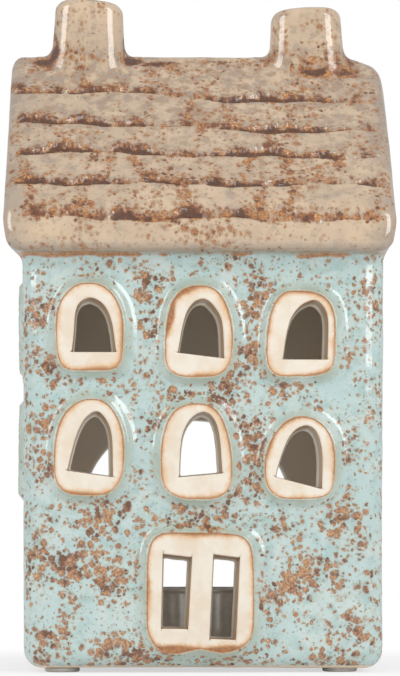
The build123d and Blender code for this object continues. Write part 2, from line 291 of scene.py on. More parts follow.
class FlatMap:  # values on a fine flat grid, read smoothly between its points
    def __init__(self, low, *grids):
        self.low = low
        self.grids = [grid.astype(np.float32) for grid in grids]

    def read(self, u, v):
        shape = self.grids[0].shape
        a = np.clip((u - self.low[0]) / mapStep, 0, shape[0] - 1.01)
        b = np.clip((v - self.low[1]) / mapStep, 0, shape[1] - 1.01)
        i, j = np.floor(a), np.floor(b)
        shareU, shareV = a - i, b - j
        i, j = i.astype(np.int32), j.astype(np.int32)
        out = []
        for g in self.grids:
            near = g[i, j] * (1 - shareU) + g[i + 1, j] * shareU
            far = g[i, j + 1] * (1 - shareU) + g[i + 1, j + 1] * shareU
            out.append(near * (1 - shareV) + far * shareV)
        return out if len(out) > 1 else out[0]


def mapOf(loops):  # signed distances to outlines on one wall face
    low = (-mapSpan, -2.0)
    top = shell["eave"] + 6
    grid = np.full((int(2 * mapSpan / mapStep), int((top - low[1]) / mapStep)), mapFar)
    for loop in loops:
        first = ((loop.min(0) - mapFar - low) / mapStep).astype(int).clip(0)
        last = ((loop.max(0) + mapFar - low) / mapStep).astype(int)
        part = grid[first[0]:last[0], first[1]:last[1]]
        u = low[0] + mapStep * (first[0] + np.arange(part.shape[0]))[:, None]
        v = low[1] + mapStep * (first[1] + np.arange(part.shape[1]))[None, :]
        part[:] = np.minimum(part, outlineDistance(u, v, loop))
    return FlatMap(low, grid)


def frontLoops():
    pads, cuts = {}, {}
    for seed, (name, window) in enumerate(frontWindows.items()):
        pads["window_frame_front_" + name] = padLoop(*window["pad"], seed=seed)
        corners = {0: "ahead", len(window["cut"]) - 1: "back"}
        points, sharp = nicked(window["cut"], corners, *frames["frontNick"])
        cuts["window_frame_front_" + name] = [curveThrough(points, sharp)]
    pads["door_frame"] = padLoop(*door["pad"], notch=door["notch"], seed=7)
    corners = {0: "back", 1: "ahead", 2: "back", 3: "ahead"}
    panes = [nicked(door[side], corners, *frames["doorNick"]) for side in ("leftPane", "rightPane")]
    cuts["door_frame"] = [curveThrough(points, sharp) for points, sharp in panes]
    return pads, cuts


sideWindows = {
    "leans": {"lower_back": 0.08, "lower_front": -0.05, "upper_back": 0.07, "upper_front": 0.1},
    "halfWidth": 7.7,
    "margin": 1.3,  # the bare clay's, inside the CAD frame
    "rise": 0.62,  # shares of the pad's height over and under its middle
    "drop": 0.38,
    "powers": (2.4, 3.6),
    "sill": 3.4,
    "head": 3.2,
    "cut": [(-5.2, 0), (-4.8, 0.38), (-4.0, 0.72), (-2.3, 0.94), (0.2, 1.0), (2.7, 0.92),
            (4.3, 0.66), (5.1, 0)],  # across, and up as a share
}


def sideLoops(side, flip):  # the side windows stand where the CAD frames are
    pads, cuts = {}, {}
    plan = sideWindows
    for seed, (place, lean) in enumerate(plan["leans"].items()):
        name = f"window_frame_{side}_{place}"
        low, high = cadSpan(name)
        middle = flip * (low[1] + high[1]) / 2
        bottom, top = low[2] + plan["margin"], high[2] - plan["margin"]
        rise, drop = plan["rise"] * (top - bottom), plan["drop"] * (top - bottom)
        pads[name] = padLoop(
            middle, bottom + drop, plan["halfWidth"], rise, drop, lean, *plan["powers"], seed=seed + 11)
        sill, head = bottom + plan["sill"], top - plan["head"]
        points = [(middle + u + lean * (head - sill) * (v - 0.4), sill + v * (head - sill))
                  for u, v in plan["cut"]]
        points, sharp = nicked(points, {0: "ahead", len(points) - 1: "back"}, *frames["sideNick"])
        cuts[name] = [curveThrough(points, sharp)]
    return pads, cuts


def archLoop():
    sill = shell["floorTop"] + arch["sill"]
    spring = sill + arch["jamb"]
    turn = np.linspace(0, math.pi, 40)
    power = 2 / arch["squareness"]
    head = np.stack([arch["halfWidth"] * np.sign(np.cos(turn)) * np.abs(np.cos(turn)) ** power,
                     spring + arch["rise"] * np.sin(turn) ** power], 1)
    half, corner = arch["halfWidth"], arch["corner"]
    bend = np.linspace(0, math.pi / 2, 8)
    leftCorner = np.stack([corner - half - corner * np.cos(bend), sill + corner - corner * np.sin(bend)], 1)
    rightCorner = np.stack([-leftCorner[::-1, 0], leftCorner[::-1, 1]], 1)
    return np.concatenate([head, leftCorner, rightCorner]) + (arch["middle"], 0)


faceLoops = {"front": frontLoops(), "left": sideLoops("left", -1), "right": sideLoops("right", 1)}
padMaps = {name: mapOf(list(pads.values())) for name, (pads, cuts) in faceLoops.items()}
cutMaps = {name: mapOf([loop for group in cuts.values() for loop in group])
           for name, (pads, cuts) in faceLoops.items()}
archMap = mapOf([archLoop()])
print("outlines drawn")


# The slate courses pressed into the slopes

slates = {
    "rises": [(0.2, 0.0), (11.0, 10.7), (22.2, 20.7), (32.9, 30.2), (45.2, 41.4)],  # left and right
    "wave": 0.55,
    "stepHeight": 0.5,  # how far a course stands over the next one down
    "gougeDepth": 0.95,
    "gougeHeight": 2.5,  # at the widest swells
    "jointDepth": 0.10,
    "jointWidth": 1.4,
}
# Stretches of each course's gouged line from the eave up: start, end and depth, as shares
frontGougeShares = [
    [(0.155, 0.255, 0.75), (0.262, 0.50, 0.95), (0.51, 0.665, 0.75), (0.675, 0.74, 0.4), (0.80, 0.90, 0.5)],
    [(0.02, 0.265, 1.0), (0.28, 0.335, 0.5), (0.35, 0.50, 0.8), (0.51, 0.655, 1.0), (0.665, 0.77, 0.6),
     (0.90, 0.965, 0.8)],
    [(0.02, 0.255, 1.0), (0.265, 0.40, 0.9), (0.42, 0.49, 0.5), (0.52, 0.88, 1.0)],
    [(0.02, 0.15, 0.85), (0.15, 0.27, 0.95), (0.275, 0.36, 0.8), (0.40, 0.45, 0.4), (0.55, 0.88, 1.05)],
    [(0.01, 0.14, 0.85), (0.15, 0.26, 0.8), (0.29, 0.40, 0.6), (0.51, 0.86, 1.0)],
]
backGougeShares = [
    [(0.06, 0.21, 0.7), (0.24, 0.43, 0.9), (0.47, 0.70, 0.8), (0.74, 0.95, 0.7)],
    [(0.04, 0.16, 0.6), (0.19, 0.46, 1.0), (0.50, 0.62, 0.6), (0.66, 0.94, 0.9)],
    [(0.08, 0.35, 0.9), (0.40, 0.55, 0.7), (0.60, 0.90, 1.0)],
    [(0.05, 0.24, 0.7), (0.28, 0.60, 1.0), (0.66, 0.80, 0.6), (0.84, 0.95, 0.6)],
    [(0.05, 0.30, 0.6), (0.42, 0.72, 0.9), (0.78, 0.92, 0.6)],
]
# Upright joints between slates, as shares of the length, in each band from the eave up
frontJointShares = [
    [0.06, 0.165, 0.205, 0.475, 0.64, 0.71], [0.19, 0.25, 0.355, 0.42, 0.59, 0.72, 0.885],
    [0.47, 0.70, 0.15, 0.31], [0.36, 0.60, 0.47], [0.4, 0.2],
]
backJointShares = [
    [0.14, 0.38, 0.58, 0.83], [0.27, 0.52, 0.77], [0.18, 0.44, 0.68], [0.33, 0.63, 0.88], [0.5],
]


def courseLine(share, row, side):
    left, right = slates["rises"][row]
    if side > 0:
        left, right = right, left
    phase = 0.37 * row + (0.0 if side < 0 else 0.45)
    slow = np.sin(2 * math.pi * (2.3 * share + phase))
    quick = np.sin(2 * math.pi * (7.3 * share + 1.7 * phase))
    return left + (right - left) * fade(share, 0.2, 0.72) + slates["wave"] * (slow + 0.4 * quick)


def ragged(x, seed):  # an uneven hand along a line, about one either way
    dice = np.random.default_rng(seed)
    total = 0
    for size in (7.0, 4.1, 2.3, 1.3):
        total = total + np.sin(2 * math.pi * x / size + dice.uniform(0, 6.28)) * (0.5 + 0.08 * size)
    return total / 2.4


def slateShape(x, climb, side):  # height over the slope, gouges, joints, and pooled glaze with painted shade along each course's lower edge
    share = x / (2 * roof["halfLength"]) + 0.5
    height, gouge, joint, slatePoolAndShade = 0.0, 0.0, 0.0, 0.0
    gougeShares = frontGougeShares if side < 0 else backGougeShares
    jointShares = frontJointShares if side < 0 else backJointShares
    ends = fade(np.abs(x), roof["halfLength"] - 1.0, roof["halfLength"] - 5.0)
    lines = [courseLine(share, row, side) for row in range(len(gougeShares))]
    for row, stretches in enumerate(gougeShares):
        over = climb - lines[row]
        lip = np.where(over > 0, np.exp(-over / 4.0), 0)
        height = height + slates["stepHeight"] * lip * fade(over, -0.35, 0.5) * ends
        drift = 1.5 * np.exp(-over.clip(-0.6) / 2.1) * fade(over, -0.75, -0.15)
        slatePoolAndShade = np.maximum(slatePoolAndShade, (0.2 + 0.16 * ragged(x, row + 40)).clip(0) * drift * ends)
        for number, (start, end, depth) in enumerate(stretches):
            middle, half = (start + end) / 2, (end - start) / 2
            along = (share - middle) / half
            body = np.clip(1 - along ** 2, 0, 1) ** 0.5
            turn = 4.3 * share + 0.29 * number + 0.41 * row + 0.2 * side
            swell = 0.5 + 0.5 * np.sin(2 * math.pi * turn)
            hand = ragged(x, row + 9)
            top = slates["gougeHeight"] * depth * body * (0.2 + 0.85 * swell ** 1.5 + 0.16 * hand)
            top = np.maximum(top, 0.25 * body)
            bottom = -0.3 - 0.12 * ragged(x, row + 20)
            centre, reach = (top + bottom) / 2, (top - bottom) / 2 + 0.25
            bite = np.clip(1 - ((over - centre) / reach) ** 2, 0, 1) ** 0.8
            gouge = np.maximum(gouge, depth * body ** 0.5 * bite * (0.75 + 0.25 * swell))
            reachUp = 0.9 + 1.4 * swell + 0.7 * hand.clip(-1, 1)
            soak = np.exp(-((over + 0.2).clip(0) / reachUp.clip(0.6)) ** 1.3) * fade(over, -0.8, -0.15)
            slatePoolAndShade = np.maximum(slatePoolAndShade, depth * body ** 0.4 * soak * (0.85 + 0.4 * swell))
    for band, spots in enumerate(jointShares):
        above = lines[band + 1] if band + 1 < len(lines) else lines[band] + 9
        inBand = fade(climb, lines[band], lines[band] + 1.5) * fade(climb, above + 1, above - 1)
        for number, spot in enumerate(spots):
            lean = 0.004 * np.sin(1.7 * number + band) * (climb - lines[band])
            offset = (share - spot - lean) * 2 * roof["halfLength"]
            joint = np.maximum(joint, np.exp(-(offset / slates["jointWidth"]) ** 2) * inBand)
    return height, gouge, joint, slatePoolAndShade


def climbOf(y, z):  # distance up the slope from the top of the eave's face
    return slopeCos * (roof["run"] - np.abs(y)) + slopeSin * (z - roof["eaveTop"])


def slateMap(side):  # relief, pooled glaze with painted shade, and joints over one slope, across and up
    low = (-roof["halfLength"] - 3, -8.0)
    x = low[0] + mapStep * np.arange(int(2 * (roof["halfLength"] + 3) / mapStep))[:, None]
    climb = low[1] + mapStep * np.arange(int((slopeLength + 14) / mapStep))[None, :]
    height, gouge, joint, slatePoolAndShade = slateShape(x, climb, side)
    relief = height - slates["gougeDepth"] * gouge - slates["jointDepth"] * joint
    return FlatMap(low, relief, slatePoolAndShade, joint)


slateMaps = {-1: slateMap(-1), 1: slateMap(1)}
print("slates pressed")


# The whole fired shell as one field, from which each piece takes its own part

def ringHeight(distance, width=frames["ringWidth"]):
    share = ((distance - 0.15) / (width - 0.15)).clip(0, 1)
    ring = frames["height"] * (1 - 0.5 * share - 0.5 * fade(share, 0, 1))
    lip = frames["bead"] * np.exp(-((distance - frames["beadAt"]) / frames["beadWidth"]) ** 2)
    seat = frames["backing"] * fade(distance, -0.05, -0.55)
    return ring + lip - seat


def slopeField(y, z):
    softY = np.sqrt(y * y + roof["ridgeSoftness"] ** 2)
    return slopeSin * (softY - roof["run"]) + slopeCos * (z - roof["eaveTop"])


def hollowSection(y, z):  # the space under the slabs, between the inside of the eaves
    return np.maximum(np.abs(y) - shell["innerY"], slopeField(y, z) + roof["thickness"])


def wallHalf(z):  # the body widens a little towards the eave
    lift = ((z - shell["base"]) / (shell["eave"] - shell["base"])).clip(0, 1)
    return shell["halfWidth"] + shell["widening"] - shell["narrowing"] * (1 - lift)


def wallField(x, y, z, near):
    intoX, intoY = 0, 0
    if "front" in near:  # the rings slope more gently on their right
        rings = padMaps["front"]
        rightward = (rings.read(x + 0.8, z) - rings.read(x - 0.8, z)) / 1.6
        width = frames["ringWidth"] + frames["rightSlope"] * fade(rightward, 0.1, 0.9)
        intoY = ringHeight(rings.read(x, z), width) * fade(y, -shell["innerY"] + 4, -shell["innerY"] - 2)
    for side, across, sign in (("left", -y, 1), ("right", y, -1)):
        if side in near:
            ring = frames["sideShares"][side] * ringHeight(padMaps[side].read(across, z))
            intoX = intoX + sign * ring * fade(-sign * x, shell["innerX"] - 3, shell["innerX"] + 2)
    pastX = np.abs(x - shell["leanRight"] + intoX) - wallHalf(z)
    plan = roundPlan(pastX, np.abs(y + intoY) - shell["halfDepth"], shell["cornerRadius"])
    body = roundCorner(plan, shell["base"] - z, shell["baseRadius"])
    return np.maximum(body, slopeField(y, z) + roof["thickness"] - 1.5)


def readSlates(x, y, z):
    climb = climbOf(y, z)
    sides = [slateMaps[side].read(x, climb) for side in (-1, 1) if (side * y).max() > 0]
    if len(sides) == 1:
        return sides[0]
    return [np.where(y < 0, front, back) for front, back in zip(*sides)]


def roofField(x, y, z):
    relief, _, _ = readSlates(x, y, z)
    climb = climbOf(y, z)
    slip = roof["ridgeSlip"] + (roof["eaveSlip"] - roof["ridgeSlip"]) * fade(climb, slopeLength, 0)
    curl = roof["endsCurl"] * np.clip(roof["eaveTop"] - z, 0, 9) ** 2
    ends = np.abs(x + slip) - roof["halfLength"] - roof["endsOut"] + curl
    ends = ends + roof["backTaper"] * fade(climb, 26, 2) * fade(y, 0, 10)
    sag = roof["rightSag"] * ((x - roof["sagFrom"]) / roof["sagOver"]).clip(0, 1.2) ** 2
    sag = sag * fade(climb, slopeLength - roof["sagBelow"], slopeLength)
    slope = slopeField(y, z) - relief + slopeCos * sag
    section = roundCorner(slope, np.abs(y) - roof["run"], roof["eaveRadius"])
    section = roundCorner(section, shell["eave"] - z, roof["undersideRadius"])
    section = smoothMax(section, -hollowSection(y, z), 1.0)
    return roundCorner(section, ends, roof["vergeRadius"])


def chimneyField(x, y, z, name):
    stack = chimneys[name]
    top = cadSpan(name)[1][2]
    drop = (top - z).clip(0, chimneySoft["flareReach"])
    spread = chimneySoft["spread"] * drop + chimneySoft["flare"] * drop ** 2
    across = x - stack["centre"][0] - stack["lean"] * (z - top)
    pastX = np.abs(across) - stack["half"][0] - spread + 0.3
    pastY = np.abs(y - stack["centre"][1]) - stack["half"][1] - 0.7 * spread + 0.2
    plan = roundPlan(pastX, pastY, chimneySoft["corner"])
    lid = z - top - 0.1 + np.maximum(stack["topTilt"] * across, 0) * 1.6
    stackShape = roundCorner(plan, lid, chimneySoft["top"])
    return np.maximum(stackShape, -slopeField(y, z) - roof["thickness"] + 1)


def outerField(x, y, z, near):  # the skin, with nothing cut
    skin = wallField(x, y, z, near)
    if "roof" in near:
        skin = smoothMin(skin, roofField(x, y, z), roof["blend"])
    for name in near & set(chimneys):
        skin = smoothMin(skin, chimneyField(x, y, z, name), chimneySoft["foot"])
    return skin - handMade(x, y, z)


def cutDistance(cutMap, u, v, depth):  # a cut slants and narrows as it goes in
    slantU, slantV = frames["cutSlant"]
    return cutMap.read(u + slantU * depth, v + slantV * depth) + frames["cutTaper"] * depth


def houseField(x, y, z, near):
    body = outerField(x, y, z, near)
    radius = shell["mouldRadius"]
    hollow = roundCorner(hollowSection(y, z), shell["floorTop"] - z, radius)
    hollow = roundCorner(hollow, np.abs(x) - shell["innerX"], radius)
    body = smoothMax(body, -hollow, 0.5)
    outward = {
        "front": (x, -y - shell["halfDepth"]),
        "left": (-y, -x - shell["halfWidth"]),
        "right": (y, x - shell["halfWidth"]),
    }
    for face, (across, out) in outward.items():
        if face in near:
            cut = cutDistance(cutMaps[face], across, z, frames["height"] - out)
            body = smoothMax(body, -np.maximum(cut, -out - 20), 0.35)
    if "arch" in near:
        body = smoothMax(body, -np.maximum(archMap.read(x, z), 20 - y), 1.6)
    for name in near & set(chimneys):
        middle = chimneys[name]["centre"]
        flue = np.hypot(x - middle[0], y - middle[1]) - chimneySoft["flue"]
        flue = np.maximum(flue, roof["top"] - chimneySoft["flueDepth"] - z)
        body = smoothMax(body, -flue, chimneySoft["flueRim"])
    return body


def chimneyGround(x, y, z, name):  # the part of the shell that belongs to a chimney
    stack = chimneys[name]
    reachX, reachY = chimneySoft["ground"]
    plan = np.maximum(np.abs(x - stack["centre"][0]) - reachX, np.abs(y) - reachY)
    return np.maximum(plan, -slopeField(y, z) - 1.5)


def underRoof(y, z):  # below zero where a side wall's own part is
    return np.maximum(np.abs(y) - shell["innerY"], slopeField(y, z) + roof["thickness"] + roof["seamDrop"])


def roofGround(x, y, z, side):
    ground = np.maximum(-underRoof(y, z), wallTop - z)
    ground = np.maximum(ground, -side * y)
    for name in chimneys:
        ground = np.maximum(ground, -chimneyGround(x, y, z, name))
    return ground


def wallGround(into, z):
    return np.maximum(np.maximum(into, z - wallTop), shell["floorTop"] - z)


def sideGround(into, y, z):
    return np.maximum(np.maximum(into, shell["floorTop"] - z), underRoof(y, z))


wallTop = shell["eave"] - roof["seamDrop"]
grounds = {
    "floor_slab": lambda x, y, z: z - shell["floorTop"],
    "front_wall": lambda x, y, z: wallGround(y + shell["innerY"], z),
    "back_wall": lambda x, y, z: wallGround(shell["innerY"] - y, z),
    "left_wall": lambda x, y, z: sideGround(x + shell["innerX"], y, z),
    "right_wall": lambda x, y, z: sideGround(shell["innerX"] - x, y, z),
    "roof_front": lambda x, y, z: roofGround(x, y, z, -1),
    "roof_back": lambda x, y, z: roofGround(x, y, z, 1),
    "chimney_left": lambda x, y, z: chimneyGround(x, y, z, "chimney_left"),
    "chimney_right": lambda x, y, z: chimneyGround(x, y, z, "chimney_right"),
}
lap = 1.0  # how far a piece runs on at full height over its neighbour
# A hair's breadth that sets overlapping pieces apart
insets = {"floor_slab": 0.06, "left_wall": 0.03, "right_wall": 0.03, "roof_front": 0.07, "roof_back": 0.10}


def pieceField(name, near):
    ground = grounds[name]
    inset = insets.get(name, 0)

    def field(x, y, z):
        past = ground(x, y, z) - lap
        return np.maximum(houseField(x, y, z, near) + inset + 0.5 * past.clip(0) ** 2, past - 0.8)

    def whole(x, y, z):
        return houseField(x, y, z, near)
    return field, whole


# From fields to meshes

tetra = [(1, -1, -1), (-1, -1, 1), (-1, 1, -1), (1, 1, 1)]
fitReach, shadeReach = 0.06, 0.07  # how far round a point its slope is felt
seamReach = 1.6  # four times the distance at which two pieces share a skin


def around(field, spots, reach):  # the field's slope and the sum of four values round each spot
    slope, total = np.zeros((len(spots), 3)), 0
    for step in tetra:
        value = field(*(spots[:, i] + step[i] * reach for i in range(3)))
        slope += value[:, None] * np.array(step)
        total = total + value
    return slope / (4 * reach), total


def meshOf(name, field, low, high, voxel, attributes, whole=None):
    axes = [np.arange(low[i] - 2 * voxel, high[i] + 2 * voxel, voxel, dtype=np.float32) for i in range(3)]
    values = field(axes[0][:, None, None], axes[1][None, :, None], axes[2][None, None, :])
    grid = openvdb.FloatGrid(3.0)
    grid.copyFromArray((values / voxel).clip(-3, 3).astype(np.float32))
    spots, quads = grid.convertToQuads(0.0)
    spots = spots.astype(float) * voxel + np.array([axis[0] for axis in axes])
    slope, _ = around(field, spots, fitReach)
    steep = (slope ** 2).sum(1).clip(0.2)
    for _ in range(2):
        gap = (field(*spots.T) / steep).clip(-voxel, voxel)
        spots = spots - (gap[:, None] * slope).clip(-voxel, voxel)
    slope, _ = around(field, spots, shadeReach)
    if whole:  # pieces that share a skin are shaded alike across their seams
        wholeSlope, total = around(whole, spots, shadeReach)
        slope = np.where((np.abs(total) < seamReach)[:, None], wholeSlope, slope)
    normals = slope / np.linalg.norm(slope, axis=1).clip(1e-6)[:, None]
    quads = quads.astype(np.int64)
    a, b, c = (spots[quads[:, i]] for i in (0, 1, 2))
    if (np.cross(b - a, c - a) * normals[quads[:, 0]]).sum() < 0:
        quads = quads[:, ::-1]
    mesh = bpy.data.meshes.new(name)
    mesh.from_pydata((spots * mm).tolist(), [], quads.tolist())
    mesh.polygons.foreach_set("use_smooth", np.ones(len(mesh.polygons), bool))
    for key, maker in attributes.items():
        layer = mesh.attributes.new(key, "FLOAT", "POINT")
        layer.data.foreach_set("value", np.asarray(maker(*spots.T), np.float32))
    mesh.normals_split_custom_set_from_vertices(normals.tolist())
    piece = bpy.data.objects.new(name, mesh)
    bpy.context.scene.collection.objects.link(piece)
    return piece


def finishPiece(piece, body, slot, material, *nodes):
    piece.data.materials.clear()
    piece.data.materials.append(material)
    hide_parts(*nodes)
    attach(piece, body)
    return piece


# What the finishes need to know at each point of the shell

def nearestPad(x, y, z):
    front = np.where(y < -shell["innerY"] + 1, padMaps["front"].read(x, z), mapFar)
    left = np.where(x < -shell["innerX"] + 1, padMaps["left"].read(-y, z), mapFar)
    right = np.where(x > shell["innerX"] - 1, padMaps["right"].read(y, z), mapFar)
    return np.minimum(np.minimum(front, left), right)


def edgeCurve(x, y, z, near):  # above zero on outward edges, below in hollows
    def field(*spot):
        return houseField(*spot, near)
    reach = 0.6
    _, total = around(field, np.stack([x, y, z], 1), reach)
    return (total - 4 * field(x, y, z)) / reach


def onSlope(y, z):
    return fade(np.abs(slopeField(y, z)), 2.5, 1.2)


def roofZone(x, y, z):  # millimetres above the line where the roof's glaze begins
    return np.maximum(slopeField(y, z) + roof["thickness"], np.minimum(z - shell["eave"], np.abs(y) - 33))


# Where rust gathered on the front: across, up, reach and strength
frontStains = [
    (-34.5, 82.5, 3.0, 0.8), (-34.8, 71.5, 3.2, 0.7), (-35, 57, 2.8, 0.6), (-34.5, 47.5, 2.6, 0.9),
    (-33, 34.5, 3.0, 0.5), (-23.5, 34.5, 4.5, 0.85), (-30.5, 25, 4.2, 1.0), (-36.5, 26.5, 2.8, 0.7),
    (-22, 22, 3.8, 0.8), (-13.2, 85.5, 2.6, 0.6), (-10.6, 88.5, 2.4, 0.7), (-12.8, 80, 2.4, 0.7),
    (-12.5, 55, 2.6, 0.5), (-8, 62, 2.2, 0.5), (10.6, 84, 2.5, 0.7), (10, 73, 2.7, 0.9),
    (3.5, 65.5, 5.0, 0.9), (14, 89, 3.4, 0.45), (12, 54.5, 3.4, 1.0), (12.4, 44.5, 2.8, 0.8),
    (11, 49.5, 3.0, 0.8), (2.5, 34.5, 3.6, 1.0), (-4.5, 35.2, 3.0, 0.7), (18.5, 66.5, 3.6, 0.6),
    (21.5, 21, 3.8, 0.9), (16, 17.5, 3.4, 0.8), (29.5, 24, 2.8, 0.5), (33.5, 35, 3.2, 0.6),
    (32, 51, 2.4, 0.4), (34, 9, 2.6, 0.7), (-19, 4.5, 4.2, 1.0), (-12, 4.2, 4.0, 0.9),
    (-34.5, 8, 3.4, 0.6), (-36.5, 4.2, 2.8, 1.0), (8, 4, 4.0, 0.6), (31, 4.2, 3.0, 0.8),
]


# Brown glaze that ran into the hollows round the chimneys: across, up, both reaches, strength
roofPools = [
    (-37.2, 145.4, 2.6, 2.2, 0.85), (-34.4, 147.3, 1.5, 2.6, 0.75), (-15.8, 145.6, 3.4, 1.5, 0.8),
    (-9.5, 144.9, 5.5, 0.8, 0.7), (-17.6, 149.5, 1.0, 3.5, 0.45), (-34.6, 151, 0.9, 3.5, 0.4),
    (-43.0, 138.0, 2.0, 1.5, 0.6), (17.2, 146.0, 2.2, 1.3, 0.45), (27.5, 142.4, 4.8, 1.4, 0.75),
    (35.2, 142.8, 3.0, 1.7, 0.75), (36.2, 146, 1.6, 2.2, 0.5), (4, 145.6, 4.0, 0.7, 0.4),
]


# glaze pooled in the gouges and round the chimneys, with painted shade along each course's lower edge
def poolAndShadeOf(x, y, z):
    total = onSlope(y, z) * readSlates(x, y, z)[1]
    for spotX, spotZ, reachX, reachZ, strength in roofPools:
        away = ((x - spotX) / reachX) ** 2 + ((z - spotZ) / reachZ) ** 2
        total = np.maximum(total, strength * np.exp(-away) * fade(y, 3.0, 0.0))
    return total


def stainOf(x, y, z):
    total = np.zeros(x.shape)
    onFront = fade(y, -33.0, -36.0)
    for spotX, spotZ, reach, strength in frontStains:
        away = (x - spotX) ** 2 + (z - spotZ) ** 2
        total = np.maximum(total, strength * np.exp(-away / (1.3 * reach) ** 2) * onFront)
    return total


def shellAttributes(near):
    made = {
        "padEdge": nearestPad,
        "depth": lambda x, y, z: -outerField(x, y, z, near),
        "curve": lambda x, y, z: edgeCurve(x, y, z, near),
        "zone": roofZone,
        "stain": stainOf,
    }
    if "slopes" in near:
        # pooled glaze, with painted shade along the course edges
        made["poolAndShade"] = poolAndShadeOf
        made["joint"] = lambda x, y, z: onSlope(y, z) * readSlates(x, y, z)[2]
    return made


# Materials

def srgb(red, green, blue):
    def linear(value):
        value /= 255
        return value / 12.92 if value <= 0.04045 else ((value + 0.055) / 1.055) ** 2.4
    return (linear(red), linear(green), linear(blue), 1.0)


colours = {
    "aqua": srgb(178, 199, 197),
    "aquaDeep": srgb(163, 188, 185),
    "aquaPale": srgb(190, 203, 199),
    "halo": srgb(164, 168, 148),  # aqua worn thin, or stained by iron
    "beige": srgb(188, 166, 141),
    "beigeGrey": srgb(148, 136, 124),
    "beigeWarm": srgb(200, 176, 148),
    "beigeBrown": srgb(158, 125, 95),
    "rustLight": srgb(186, 127, 70),
    "rust": srgb(152, 90, 44),
    "rustDark": srgb(88, 52, 32),
    "rustRim": srgb(118, 69, 36),
    "fleck": srgb(210, 168, 122),
    "soaked": srgb(124, 74, 38),  # glaze pooled in the gouges
    # nearly black pooled glaze, also used as painted shade under each course's lip
    "poolDarkAndShade": srgb(72, 40, 20),
    "foot": srgb(232, 214, 190),
    "toast": srgb(178, 118, 68),
    "reveal": srgb(160, 146, 124),
    # painted highlight for the outward edges inside the cuts
    "edgeHighlight": srgb(252, 244, 232),
    "inside": srgb(246, 236, 222),
    "clayPale": srgb(224, 215, 201),
    "clayDeep": srgb(217, 203, 183),
    "clayWarm": srgb(216, 168, 114),
    "clayToast": srgb(164, 107, 62),
    "clayBrown": srgb(124, 80, 47),
    "clayCut": srgb(164, 149, 127),
    "cup": srgb(236, 236, 234),
    "cupShade": srgb(224, 224, 223),
    "wax": srgb(242, 238, 228),
    "waxShade": srgb(236, 231, 219),
    "cotton": srgb(232, 226, 210),
    "cottonShade": srgb(206, 196, 172),
    "tin": srgb(196, 196, 194),
    "tinShade": srgb(180, 180, 178),
    "rubber": srgb(232, 230, 226),
    "rubberShade": srgb(220, 218, 214),
}


perMm = 1 / mm


class Nodes:  # a small bench for wiring one material or group
    def __init__(self, tree):
        self.tree = tree

    def add(self, kind, inputs=None, **settings):
        node = self.tree.nodes.new(kind)
        for key, value in settings.items():
            setattr(node, key, value)
        for key, value in (inputs or {}).items():
            self.put(node, key, value)
        return node

    def put(self, node, key, value):  # a link, a plain value, or a colour by its name
        socket = node.inputs[key]
        value = colours[value] if isinstance(value, str) else value
        if isinstance(value, bpy.types.NodeSocket):
            self.tree.links.new(value, socket)
        else:
            socket.default_value = value

    def math(self, operation, a, b=0.0, c=None):
        node = self.add("ShaderNodeMath", {0: a, 1: b}, operation=operation)
        if c is not None:
            self.put(node, 2, c)
        return node.outputs[0]

    def times(self, a, b):
        return self.math("MULTIPLY", a, b)

    def timesPlus(self, a, b, c):
        return self.math("MULTIPLY_ADD", a, b, c)

    def larger(self, a, b):
        return self.math("MAXIMUM", a, b)

    def plus(self, a, b):
        return self.math("ADD", a, b)

    def less(self, a, b):
        return self.math("SUBTRACT", a, b)

    def vector(self, operation, inputs):
        return self.add("ShaderNodeVectorMath", inputs, operation=operation)

    def bump(self, height, strength, distance):
        inputs = {"Height": height, "Strength": strength, "Distance": distance * mm}
        return self.add("ShaderNodeBump", inputs).outputs[0]

    def ramp(self, value, low, high, start=0.0, end=1.0, smooth=True):
        kind = "SMOOTHSTEP" if smooth else "LINEAR"
        inputs = {"Value": value, "From Min": low, "From Max": high, "To Min": start, "To Max": end}
        return self.add("ShaderNodeMapRange", inputs, interpolation_type=kind).outputs[0]

    def noise(self, place, size, detail=2.0, roughness=0.5, out="Fac"):  # size in millimetres
        inputs = {"Vector": place, "Scale": perMm / size, "Detail": detail, "Roughness": roughness}
        return self.add("ShaderNodeTexNoise", inputs).outputs[out]

    def blend(self, factor, a, b):
        node = self.add("ShaderNodeMix", data_type="RGBA")
        self.put(node, 0, factor)
        self.put(node, 6, a)
        self.put(node, 7, b)
        return node.outputs[2]

    def attribute(self, name):
        return self.add("ShaderNodeAttribute", attribute_name=name).outputs["Fac"]

    def group(self, tree, inputs):
        node = self.add("ShaderNodeGroup")
        node.node_tree = tree
        for key, value in inputs.items():
            self.put(node, key, value)
        return node.outputs


def newGroup(name, inputs, outputs):
    tree = bpy.data.node_groups.new(name, "ShaderNodeTree")
    for key, value in inputs.items():
        kind = {float: "NodeSocketFloat", tuple: "NodeSocketColor"}.get(type(value), "NodeSocketVector")
        socket = tree.interface.new_socket(name=key, in_out="INPUT", socket_type=kind)
        if value is not None:
            socket.default_value = value
    for key, kind in outputs.items():
        tree.interface.new_socket(name=key, in_out="OUTPUT", socket_type=kind)
    bench = Nodes(tree)
    return bench, bench.add("NodeGroupInput").outputs, bench.add("NodeGroupOutput"), tree


def newMaterial(name):
    material = bpy.data.materials.new(name)
    material.use_nodes = True
    material.node_tree.nodes.clear()
    bench = Nodes(material.node_tree)
    shader = bench.add("ShaderNodeBsdfPrincipled")
    output = bench.add("ShaderNodeOutputMaterial")
    material.node_tree.links.new(shader.outputs[0], output.inputs[0])
    place = bench.add("ShaderNodeTexCoord").outputs["Object"]
    return material, bench, shader, place


